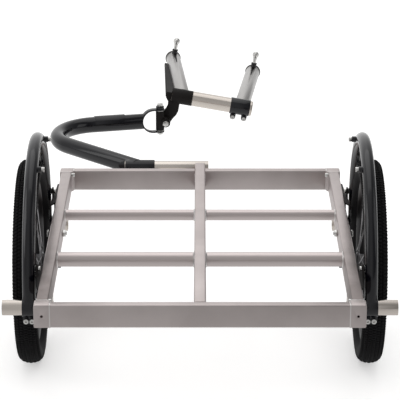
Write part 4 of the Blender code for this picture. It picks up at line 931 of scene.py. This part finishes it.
# %% [markdown]
# ## Drawbar
# The drawbar is a thick tube that runs out to the left, turns round the bicycle's wheel in one wide bend
# and comes back to the middle. It is drawn like the hoops: a ring, an extrusion, a spin and another
# extrusion. Its end is hollowed to fit the strap, with a thin pad on its upper side, and its foot carries
# a long clamp on the mount tube.

# %% Drawbar
MOUNT = Vector(joints["drawbar_tilt"]["pos_m"])
DRAWBAR_RADIUS = 0.0184
DRAWBAR_FOOT_X = -0.139
DRAWBAR_CORNER = Vector((-0.4246, 0.2849, 0.0))
LEG_ANGLE, TIP_ANGLE = math.radians(135.0), math.radians(13.3)
LEG = Vector((math.cos(LEG_ANGLE), math.sin(LEG_ANGLE), 0.0))
TIP = Vector((math.cos(TIP_ANGLE), math.sin(TIP_ANGLE), 0.0))
BEND_RADIUS = 0.100
BEND_TANGENT = BEND_RADIUS * math.tan((LEG_ANGLE - TIP_ANGLE) / 2)
STRAP_BACK = DRAWBAR_CORNER + TIP * 0.2935
STRAP_RADIUS = 0.0285
STRAP_OVERLAP = 0.006
BORE_HALF = 0.03
COPE_HALF = 0.04
MOUNT_TUBE_RADIUS = 0.0143
DRAWBAR_CLAMP = (0.01675, 0.0645, 0.036)
DRAWBAR_CLAMP_START = -0.1655
PAD_START, PAD_END = 0.1825, 0.2534
PAD_THICKNESS = 0.0018
PAD_FLOOR = 0.3


def bent_drawbar():
    """The bare tube: its leg, its bend and its tip, a little longer than needed."""
    foot = DRAWBAR_CORNER - LEG * ((DRAWBAR_CORNER.x - DRAWBAR_FOOT_X) / LEG.x)
    bend_start = DRAWBAR_CORNER - LEG * BEND_TANGENT
    bend_end = DRAWBAR_CORNER + TIP * BEND_TANGENT
    select_only()
    ring_turn = LEG.to_track_quat("Z", "Y").to_euler()
    bpy.ops.mesh.primitive_circle_add(vertices=48, radius=DRAWBAR_RADIUS, location=foot, rotation=ring_turn)
    bar = fix_place(bpy.context.object)
    bpy.ops.object.mode_set(mode="EDIT")
    bpy.ops.mesh.select_mode(type="EDGE")
    bpy.ops.mesh.select_all(action="SELECT")
    push(bend_start - foot)
    centre = bend_start + Vector((LEG.y, -LEG.x, 0)) * BEND_RADIUS
    bpy.ops.mesh.spin(steps=40, angle=LEG_ANGLE - TIP_ANGLE, center=centre, axis=UP)
    push(STRAP_BACK + TIP * STRAP_OVERLAP - bend_end)
    bpy.ops.mesh.select_all(action="SELECT")
    bpy.ops.mesh.fill_holes(sides=64)
    close_up()
    return bar


def fit_tip(bar):
    """Bores the tip, copes it to the strap and adds the pad, which is the upper part of a fatter bar."""
    across = Vector((-TIP.y, TIP.x, 0)) * COPE_HALF
    strap_middle = STRAP_BACK + TIP * (STRAP_RADIUS + GAP)
    bore_ends = STRAP_BACK - TIP * BORE_HALF, STRAP_BACK + TIP * BORE_HALF
    bore = round_bar(*bore_ends, DRAWBAR_RADIUS - TUBE_WALL)
    cope = round_bar(strap_middle - across, strap_middle + across, STRAP_RADIUS + GAP)
    combined(bar, "DIFFERENCE", bore, cope)
    pad_ends = DRAWBAR_CORNER + TIP * PAD_START, DRAWBAR_CORNER + TIP * PAD_END
    pad = round_bar(*pad_ends, DRAWBAR_RADIUS + PAD_THICKNESS)
    pick(pad)
    pad_floor = (0, 0, DRAWBAR_RADIUS * PAD_FLOOR)
    bpy.ops.mesh.bisect(plane_co=pad_floor, plane_no=UP, clear_inner=True, use_fill=True)
    close_up()
    combined(bar, "UNION", pad)


drawbar = bent_drawbar()
fit_tip(drawbar)
clamp_radius, clamp_length, clamp_spacing = DRAWBAR_CLAMP
clamp_place = Matrix.Translation((DRAWBAR_CLAMP_START + BITE + clamp_length / 2, 0, 0))
add_clamp(drawbar, clamp_place, MOUNT_TUBE_RADIUS, *DRAWBAR_CLAMP, clamp_length)
soften(drawbar, EDGE, angle=ROUND_ANGLE)
to_mount = Matrix.Translation(MOUNT)
fix_place(drawbar, to_mount)
settle(drawbar, "bent_drawbar", "drawbar", gloss_black, "black_paint", "drawbar", smooth=ROUND_ANGLE)
bolts = pinch_bolts(to_mount @ clamp_place, clamp_radius, clamp_spacing)
settle(bolts, "drawbar_pinch_bolts", "drawbar", zinc_plate, "bright_steel")
print("Drawbar faces:", len(drawbar.data.polygons))

# %% [markdown]
# ## The hitch's own frame
# The yoke hangs a little to the right and turned on the kingpin, so nothing in it lies square to the
# world. Its joints know how it lies: the arm's slide gives its crosswise direction, the roll bolt its
# forward one and the pull pins its upright one. Parts of the yoke are made square, about the roll bolt,
# and one matrix then tips them into place.

# %% The yoke's frame
YOKE_AXES = [Vector(joints[name]["axis"]) for name in ("right_arm_slide", "hitch_roll", "left_pin_lift")]
YOKE = Matrix([axis.normalized() for axis in YOKE_AXES]).transposed().to_4x4()
YOKE.translation = Vector(joints["hitch_roll"]["pos_m"])
CROSSBAR_Y = 0.023
CROSSBAR_Z = 0.0609
CROSSBAR_RADIUS = 0.0175
ARM_X = {LEFT: 0.0293, RIGHT: 0.1702}
ARM_FEET = {side: Vector((x, CROSSBAR_Y, CROSSBAR_Z)) for side, x in ARM_X.items()}
ARM_RADIUS = 0.0175
ARM_LENGTH = 0.333
ARM_SPLAY = math.radians(5.35)
ARM_BODIES = {LEFT: "yoke", RIGHT: "right_arm"}
SLEEVE_RADII = {LEFT: 0.0179, RIGHT: 0.0194}


def arm_frame(side):
    """The matrix in the yoke's frame whose Z runs along an arm from the crossbar and whose Y points up."""
    along, up = Vector((side * math.sin(ARM_SPLAY), math.cos(ARM_SPLAY), 0)), Vector(UP)
    turn = Matrix((up.cross(along), up, along)).transposed().to_4x4()
    return Matrix.Translation(ARM_FEET[side]) @ turn


print("The yoke hangs", round(math.degrees(math.acos(YOKE_AXES[2].normalized().z)), 1), "degrees to the side")

# %% [markdown]
# ## Crossbar and its cap
# The crossbar is turned down at its left end to enter the sleeve, and closed at its right end by a bright
# cap with a softened rim and a plug that enters the bar. Both are lathe work.

# %% Crossbar and cap
SLEEVE_START = 0.0028
SLEEVE_END = 0.0520
CROSSBAR_END = 0.1957
SPIGOT_RADIUS = 0.0155
CAP_THICKNESS = 0.0025
PLUG_END = -0.0115
PLUG_RADIUS = SPIGOT_RADIUS - 0.0024
crossbar_start = SLEEVE_START + GAP
crossbar_length = CROSSBAR_END - CAP_THICKNESS - GAP - crossbar_start
shoulder = SLEEVE_END + GAP - crossbar_start


def turned_across(profile, start, ring):
    """A part turned about the crossbar's line, whose profile starts at a place on it."""
    return lathe(profile, YOKE @ aimed((start, CROSSBAR_Y, CROSSBAR_Z), (1, 0, 0)), steps=96, ring=ring)


bar_profile = [(CROSSBAR_RADIUS, crossbar_length), (CROSSBAR_RADIUS, shoulder + 0.0005)]
bar_profile += [(CROSSBAR_RADIUS - 0.0005, shoulder), (SPIGOT_RADIUS, shoulder), (SPIGOT_RADIUS, 0)]
bar_profile += [(SPIGOT_RADIUS - TUBE_WALL, 0), (SPIGOT_RADIUS - TUBE_WALL, crossbar_length)]
crossbar = turned_across(bar_profile, crossbar_start, True)
settle(crossbar, "polished_crossbar", "yoke", polished_tube, "polished_aluminium", "crossbar")

cap_profile = [(0, 0), (CROSSBAR_RADIUS - 0.0010, 0), (CROSSBAR_RADIUS - 0.0003, -0.0003)]
cap_profile += [(CROSSBAR_RADIUS, -0.0010), (CROSSBAR_RADIUS, -CAP_THICKNESS)]
cap_profile += [(PLUG_RADIUS, -CAP_THICKNESS), (PLUG_RADIUS, PLUG_END), (0, PLUG_END)]
cap = turned_across(cap_profile, CROSSBAR_END, False)
settle(cap, "crossbar_end_cap", "yoke", polished_tube, "polished_aluminium", "crossbar_cap")
print("Crossbar", round(crossbar_length * 1000), "mm long")

# %% [markdown]
# ## Arms
# Each arm is a tube whose near end is cut to the round of its sleeve with a hole saw, here a bar of the
# sleeve's size used as a Boolean. A narrow slot, wider towards the tip, lets the tip close on its socket,
# and a round hole in it passes the pull pin's collar.

# %% Arms
SLOT_LENGTH = 0.094
SLOT_FOOT_HALF = 0.00125
SLOT_TIP_HALF = 0.00425
SLOT_PAST_TIP = 0.01
PIN_SETBACK = 0.012
PIN_COLLAR_RADIUS = 0.0070
COPE_REACH = Vector((0.04, 0, 0))


def slot_cutter():
    """A wedge of a plate, laid flat on top of an arm with its wide end past the tip."""
    outline = [(SLOT_TIP_HALF, SLOT_PAST_TIP), (-SLOT_TIP_HALF, SLOT_PAST_TIP)]
    outline += [(-SLOT_FOOT_HALF, -SLOT_LENGTH), (SLOT_FOOT_HALF, -SLOT_LENGTH)]
    lay_flat = Matrix(((-1, 0, 0, 0), (0, 0, 1, ARM_RADIUS), (0, 1, 0, ARM_LENGTH), (0, 0, 0, 1)))
    return plate(outline, ARM_RADIUS, lay_flat)


def make_arm(side, name):
    arm = bored_tube(ORIGIN, (0, 0, ARM_LENGTH), ARM_RADIUS, 96)
    hole_z = ARM_LENGTH - PIN_SETBACK
    hole_ends = (0, ARM_RADIUS / 2, hole_z), (0, ARM_RADIUS * 2, hole_z)
    combined(arm, "DIFFERENCE", slot_cutter(), round_bar(*hole_ends, PIN_COLLAR_RADIUS + GAP, 48))
    fix_place(arm, YOKE @ arm_frame(side))
    cope_ends = ARM_FEET[side] - COPE_REACH, ARM_FEET[side] + COPE_REACH
    cope = round_bar(*cope_ends, SLEEVE_RADII[side] + GAP, 96)
    combined(arm, "DIFFERENCE", fix_place(cope, YOKE))
    soften(arm, FINE_EDGE, angle=ROUND_ANGLE)
    title, slot = f"slotted_arm_{name}", "polished_aluminium"
    settle(arm, title, ARM_BODIES[side], satin_arm, slot, f"arm_{name}", smooth=ROUND_ANGLE)
    return arm


arms = [make_arm(side, name) for side, name in SIDE_NAMES.items()]
print("Arm faces:", [len(arm.data.polygons) for arm in arms])

# %% [markdown]
# ## End sockets and pull pins
# A black nylon socket plugs each arm, with a flange over the tube's end and a ribbed collar that guides
# the pull pin. The pin is turned from steel: a ball to grip, a neck that narrows down to the collar, and a
# plain shank that locks the bicycle's axle nut in the socket.

# %% Sockets and pins
FLANGE = 0.0190
FLANGE_THICKNESS = 0.004
AXLE_HOLE = 0.0080
AXLE_HOLE_END = -0.070
PLUG_DEPTH = -0.098
COLLAR_TOP = ARM_RADIUS + 0.010
COLLAR_NECK = PIN_COLLAR_RADIUS - 0.0006
PIN_DRILL = 0.0033
KNOB_RADIUS = 0.0081
KNOB_Z = ARM_RADIUS + 0.031
NECK_RADIUS = 0.0042
SHANK_RADIUS = 0.0030
KNOB_ANGLE = 50.0


def make_socket(side, name):
    plug, end = ARM_RADIUS - TUBE_WALL - GAP, FLANGE_THICKNESS
    profile = [(AXLE_HOLE, end - 0.0006), (AXLE_HOLE + 0.0006, end), (FLANGE - 0.0010, end)]
    profile += [(FLANGE, end - 0.0010), (FLANGE, GAP + 0.0004), (FLANGE - 0.0004, GAP)]
    profile += [(plug, GAP), (plug, PLUG_DEPTH), (0, PLUG_DEPTH), (0, AXLE_HOLE_END)]
    profile += [(AXLE_HOLE, AXLE_HOLE_END)]
    socket = lathe(profile, Matrix.Translation((0, 0, ARM_LENGTH)), steps=96, ring=True)
    low, wide, neck, top = plug - 0.004, PIN_COLLAR_RADIUS, COLLAR_NECK, COLLAR_TOP
    collar_profile = [(0, low), (wide, low), (wide, ARM_RADIUS + 0.0015), (neck, ARM_RADIUS + 0.0022)]
    collar_profile += [(neck, top - 0.0036), (wide, top - 0.0030), (wide, top - 0.0008)]
    collar_profile += [(wide - 0.0008, top), (0, top)]
    lay_back = Matrix.Rotation(math.radians(-90), 4, "X")
    upright = Matrix.Translation((0, 0, ARM_LENGTH - PIN_SETBACK)) @ lay_back
    collar = lathe(collar_profile, upright, steps=48)
    drill = fix_place(round_bar(ORIGIN, (0, 0, top + 0.01), PIN_DRILL, 32), upright)
    combined(combined(socket, "UNION", collar), "DIFFERENCE", drill)
    fix_place(socket, YOKE @ arm_frame(side))
    title, slot = f"nylon_socket_{name}", "black_plastic"
    settle(socket, title, ARM_BODIES[side], moulded_nylon, slot, f"arm_socket_{name}", smooth=ROUND_ANGLE)


def make_pin(name):
    foot, neck = COLLAR_TOP + GAP, NECK_RADIUS
    ball = [(0.0, KNOB_Z + KNOB_RADIUS)] + arc((0, KNOB_Z), KNOB_RADIUS, 84, -52, 16)
    taper = [(neck + 0.0012, KNOB_Z - 0.0070), (neck + 0.0008, KNOB_Z - 0.0090), (neck, foot + 0.0008)]
    shank = [(neck, foot), (SHANK_RADIUS, foot), (SHANK_RADIUS, -0.0030), (0.0022, -0.0040), (0, -0.0040)]
    pin = lathe(ball + taper + shank, steps=48)
    place = YOKE.to_3x3().to_4x4()
    place.translation = Vector(joints[f"{name}_pin_lift"]["pos_m"])
    fix_place(pin, place)
    title, slot = f"ball_pull_pin_{name}", "bright_steel"
    settle(pin, title, f"{name}_pin", zinc_plate, slot, f"pull_pin_{name}", smooth=KNOB_ANGLE)


for side, name in SIDE_NAMES.items():
    make_socket(side, name)
    make_pin(name)
print("Pins stand", round((KNOB_Z + KNOB_RADIUS) * 1000, 1), "mm above the arms' middle lines")

# %% [markdown]
# ## The clamp of the right arm
# The right arm slides along the crossbar to suit the bicycle's axle, and a clamp of the kind above holds
# it there. Its bolts hang below the bar with their bright heads to the rear.

# %% Right clamp
RIGHT_CLAMP = (SLEEVE_RADII[RIGHT], 0.0464, 0.0266)
RIGHT_CLAMP_SHIFT = Vector((-0.0032, 0, 0))
clamp_radius, clamp_length, clamp_spacing = RIGHT_CLAMP
clamp_place = YOKE @ Matrix.Translation(ARM_FEET[RIGHT] + RIGHT_CLAMP_SHIFT)
clamp = add_clamp(None, clamp_place, CROSSBAR_RADIUS, *RIGHT_CLAMP, clamp_length)
soften(clamp, EDGE, angle=ROUND_ANGLE)
title, body, slot = "sliding_arm_clamp", "right_arm", "black_paint"
settle(clamp, title, body, gloss_black, slot, "right_clamp", smooth=ROUND_ANGLE)
clamp_bolts = pinch_bolts(clamp_place, clamp_radius, clamp_spacing)
settle(clamp_bolts, "arm_clamp_bolts", "right_arm", zinc_plate, "bright_steel")
print("Clamp faces:", len(clamp.data.polygons))

# %% [markdown]
# ## Weld seams of the bed
# The bed is welded all round at each joint, and the beads are ground nearly flush, so that each joint
# shows as a pale line a couple of millimetres wide. Such a seam is a thin band round the rail: a cube of
# the rail's section grown by the seam's height, with rounded edges. Round tubes get a ring with a sloped
# face, whose top is cut off level with the deck.

# %% Weld seams
SEAM_PROUD = 0.00035
SEAM_WIDTH = 0.0024
SEAM_EDGE = 0.0003
TUBE_SEAM = 0.0022


def rail_seam(name, rail, axis, joint):
    """A band round a rail at a place along its axis, 0 for X or 1 for Y."""
    low, high = rail[0] - Vector.Fill(3, SEAM_PROUD), rail[1] + Vector.Fill(3, SEAM_PROUD)
    low[axis], high[axis] = joint - SEAM_WIDTH / 2, joint + SEAM_WIDTH / 2
    seam = box_bar(low, high)
    soften(seam, SEAM_EDGE)
    settle(seam, name, "chassis", weld_bead, "aluminium")


def tube_seam(name, place, way, radius, deck):
    """A ring of weld about a tube's end, ground off at the deck."""
    profile = [(radius, 0), (radius + TUBE_SEAM, 0)]
    profile += [(radius + TUBE_SEAM * 0.55, TUBE_SEAM * 0.5), (radius, TUBE_SEAM)]
    ring = lathe(profile, aimed(place, way), steps=48, ring=True)
    pick(ring)
    ground = (0, 0, deck + SEAM_PROUD)
    bpy.ops.mesh.bisect(plane_co=ground, plane_no=UP, clear_outer=True, use_fill=True)
    close_up()
    settle(ring, name, "chassis", weld_bead, "aluminium")


for node in nodes_named("corner_block_"):
    low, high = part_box(node)
    corner = node.removeprefix("corner_block_")
    end, side_name = corner.split("_")
    joint_x = high.x if side_name == "left" else low.x
    joint_y = low.y if end == "front" else high.y
    rail_seam(f"rail_seam_{corner}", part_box(f"side_rail_{side_name}"), 1, joint_y)
    cross = "rear_cross_rail" if end == "rear" else f"front_cross_rail_{side_name}"
    rail_seam(f"cross_seam_{corner}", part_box(cross), 0, joint_x)
for node in nodes_named("cross_tube_"):
    low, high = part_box(node)
    middle, radius = (low + high) / 2, (high.y - low.y) / 2
    for label, end_x, way in (("low", low.x, 1), ("high", high.x, -1)):
        tube_seam(f"seam_{node}_{label}", (end_x, middle.y, middle.z), (way, 0, 0), radius, high.z)
print("Weld seams:", 2 * len(nodes_named("corner_block_")) + 2 * len(nodes_named("cross_tube_")))

# %% [markdown]
# ## Screws in the bed's corners
# A small bright screw stands out of each end of the side rails' inner faces, just under the deck. It closes
# a threaded insert for a strap's eye. The four are cap screws of the kind that the hoops have.

# %% Corner screws
CORNER_SCREW_DROP = 0.005
CORNER_SCREW_RADIUS = 0.0040
FRONT_SCREW = (0.0060, 0.0080)
REAR_SCREW = (0.0072, 0.0055)


def corner_screws(side, name):
    """The two screws of one side rail, each given by its distance from the rail's end and its height."""
    low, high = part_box(f"side_rail_{name}")
    face, level = high.x if side == LEFT else low.x, high.z - CORNER_SCREW_DROP
    screws = []
    for along, height in ((high.y - FRONT_SCREW[0], FRONT_SCREW[1]), (low.y + REAR_SCREW[0], REAR_SCREW[1])):
        screws.append(cap_screw((face, along, level), (-side, 0, 0), CORNER_SCREW_RADIUS, height))
    return screws


inserts = joined(*corner_screws(LEFT, "left"), *corner_screws(RIGHT, "right"))
settle(inserts, "corner_insert_screws", "chassis", zinc_plate, "bright_steel")
print("Corner screws:", len(inserts.data.polygons), "faces")

# %% [markdown]
# ## Softened copies of the CAD solids
# Rails, brackets and blocks already have the right form. Their CAD meshes are loose flat triangles with
# knife edges, though, and a real edge always has a small radius that catches the light. So each one is
# copied, the copy's triangles are merged and dissolved back into whole faces, its edges are given a
# small bevel, and it is shaded smooth across gentle angles. The copy then stands in for the solid. Its
# finish follows from its material slot, apart from a few pieces with a finish of their own.


# %% Dress the CAD solids that keep their form
TRIANGLE_MERGE = 0.00002
FACE_FLATNESS = math.radians(1.0)


def softened_copy(node, material, slot):
    """A merged, bevelled and smoothly shaded copy of a CAD node, which it replaces."""
    select_only(frame["nodes"][node])
    bpy.ops.object.duplicate()
    piece = bpy.context.object
    bpy.ops.object.mode_set(mode="EDIT")
    bpy.ops.mesh.select_all(action="SELECT")
    bpy.ops.mesh.remove_doubles(threshold=TRIANGLE_MERGE)
    bpy.ops.mesh.dissolve_limited(angle_limit=FACE_FLATNESS)
    bpy.ops.object.mode_set(mode="OBJECT")
    for key in list(piece.keys()):
        if key.startswith("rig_"):
            del piece[key]
    piece.parent = None
    soften(piece, EDGE)
    settle(piece, f"dressed_{node}", body_of_node[node], material, slot)
    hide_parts(node)


bodies = frame["record"]["behaviour"]["bodies"]
body_of_node = {node: body for body, nodes in bodies.items() for node in nodes}
slot_of_node = {part["node"]: part["material_slot"] for part in frame["record"]["subparts"]}
slot_finishes = {
    "aluminium": blasted_aluminium,
    "black_paint": gloss_black,
    "bright_steel": zinc_plate,
}
own_finishes = {"drawbar_mount_tube": polished_tube}
# The side rails take the aluminium whose colour carries painted shade towards the rear.
own_finishes.update({node: rail_aluminium_painted_shade for node in nodes_named("side_rail_")})
matte_nodes = ["yoke_bracket", "hitch_block", *nodes_named("hoop_stay_")]
own_finishes.update({node: matte_black for node in matte_nodes})
kept_nodes = sorted(set(frame["nodes"]) - replaced)
for node in kept_nodes:
    slot = slot_of_node[node]
    softened_copy(node, own_finishes.get(node) or slot_finishes[slot], slot)
print("Dressed copies:", len(kept_nodes))

# %% [markdown]
# ## Floor
# The photograph is a studio shot on white. The floor is white to the camera by its own colour, not by more
# light on the trailer, and it keeps the soft shadow. Metal mirrors the floor too: it looks white in front of
# the trailer and dimmer towards the camera.

# %% Floor
FLOOR_SIZE = 30.0
FLOOR_LIFT = 0.42
FLOOR_FADE = (-1.4, 1.0)
STUDIO_FRONT = 1.0
STUDIO_BEHIND = 0.50
WHITE = colour("#ffffff")


def make_pale_floor():
    """A floor that is lifted to white for the camera, and dims towards the camera in reflections."""
    tones = {"Base_Color": colour("#f4f3f2"), "Emission_Color": WHITE}
    material, tree, shader = new_material("pale_studio_floor", Roughness=0.9, **tones)
    path = add_node(tree, "ShaderNodeLightPath", {})
    seen = ranged(tree, path.outputs["Is Camera Ray"], 0.0, FLOOR_LIFT)
    tree.links.new(seen, shader.inputs["Emission Strength"])
    reflected = ranged(tree, coordinate(tree, "Object", "Y"), STUDIO_BEHIND, STUDIO_FRONT, *FLOOR_FADE)
    glow = add_node(tree, "ShaderNodeEmission", {"Color": WHITE, "Strength": reflected})
    faces = {0: path.outputs["Is Glossy Ray"], 1: shader.outputs["BSDF"], 2: glow.outputs["Emission"]}
    mix = add_node(tree, "ShaderNodeMixShader", faces)
    tree.links.new(mix.outputs["Shader"], tree.nodes["Material Output"].inputs["Surface"])
    return material


select_only()
bpy.ops.mesh.primitive_plane_add(size=FLOOR_SIZE, location=(0.0, 0.0, 0.0))
floor = bpy.context.object
floor.name = "studio_floor"
floor.data.materials.append(make_pale_floor())
print("Floor:", FLOOR_SIZE, "m wide")

# %% [markdown]
# ## Room and lamps
# The background is plain white to the camera. Metal mirrors a studio instead: white in front of the trailer,
# dimmer behind the camera and darkest on the right, which is why the faces that look back at the camera are
# darker than the tops. A few large soft lamps light the rest at a plain level.

# %% Room and lamps
STUDIO_LEFT = 0.75
STUDIO_RIGHT = 0.30
STUDIO_LIGHT = 0.70
FRONT_FADE = (-0.55, 0.5)
LEFT_FADE = (-0.9, -0.3)
RIGHT_FADE = (0.05, 0.6)


def chosen(tree, switch, when_off, when_on):
    """One of two numbers, by a switch that is 0 or 1."""
    inputs = {0: switch, 2: when_off, 3: when_on}
    return add_node(tree, "ShaderNodeMix", inputs, data_type="FLOAT").outputs[0]


def studio_world():
    """A world that is white to the camera, a graded studio in reflections and a softer light."""
    world = bpy.data.worlds.new("studio_world")
    bpy.context.scene.world = world
    world.use_nodes = True
    tree = world.node_tree
    background = tree.nodes["Background"]
    background.inputs["Color"].default_value = WHITE
    path = add_node(tree, "ShaderNodeLightPath", {})
    across = coordinate(tree, "Generated", "X")
    left = ranged(tree, across, STUDIO_LEFT, 1.0, *LEFT_FADE)
    right = ranged(tree, across, 1.0, STUDIO_RIGHT, *RIGHT_FADE)
    forward = ranged(tree, coordinate(tree, "Generated", "Y"), STUDIO_BEHIND, STUDIO_FRONT, *FRONT_FADE)
    reflected = computed(tree, "MULTIPLY", forward, computed(tree, "MULTIPLY", left, right))
    unseen = chosen(tree, path.outputs["Is Glossy Ray"], STUDIO_LIGHT, reflected)
    strength = chosen(tree, path.outputs["Is Camera Ray"], unseen, STUDIO_FRONT)
    tree.links.new(strength, background.inputs["Strength"])


def soft_lamp(name, location, target, width, power):
    """A square softbox aimed at a point."""
    aim = (Vector(target) - Vector(location)).to_track_quat("-Z", "Y").to_euler()
    bpy.ops.object.light_add(type="AREA", location=location, rotation=aim)
    lamp = bpy.context.object
    lamp.name = name
    lamp.data.shape = "SQUARE"
    lamp.data.size = width
    lamp.data.energy = power


studio_world()
soft_lamp("overhead_softbox", (0.0, 0.6, 3.2), (0.0, -0.2, 0.2), 3.0, 14.0)
soft_lamp("left_softbox", (-3.0, -0.8, 1.6), (0.0, -0.2, 0.3), 2.0, 16.0)
soft_lamp("right_softbox", (3.0, -0.8, 1.6), (0.0, -0.2, 0.3), 2.0, 8.0)
bpy.context.scene.view_settings.view_transform = "Standard"
print("Lamps:", len(bpy.data.lights))
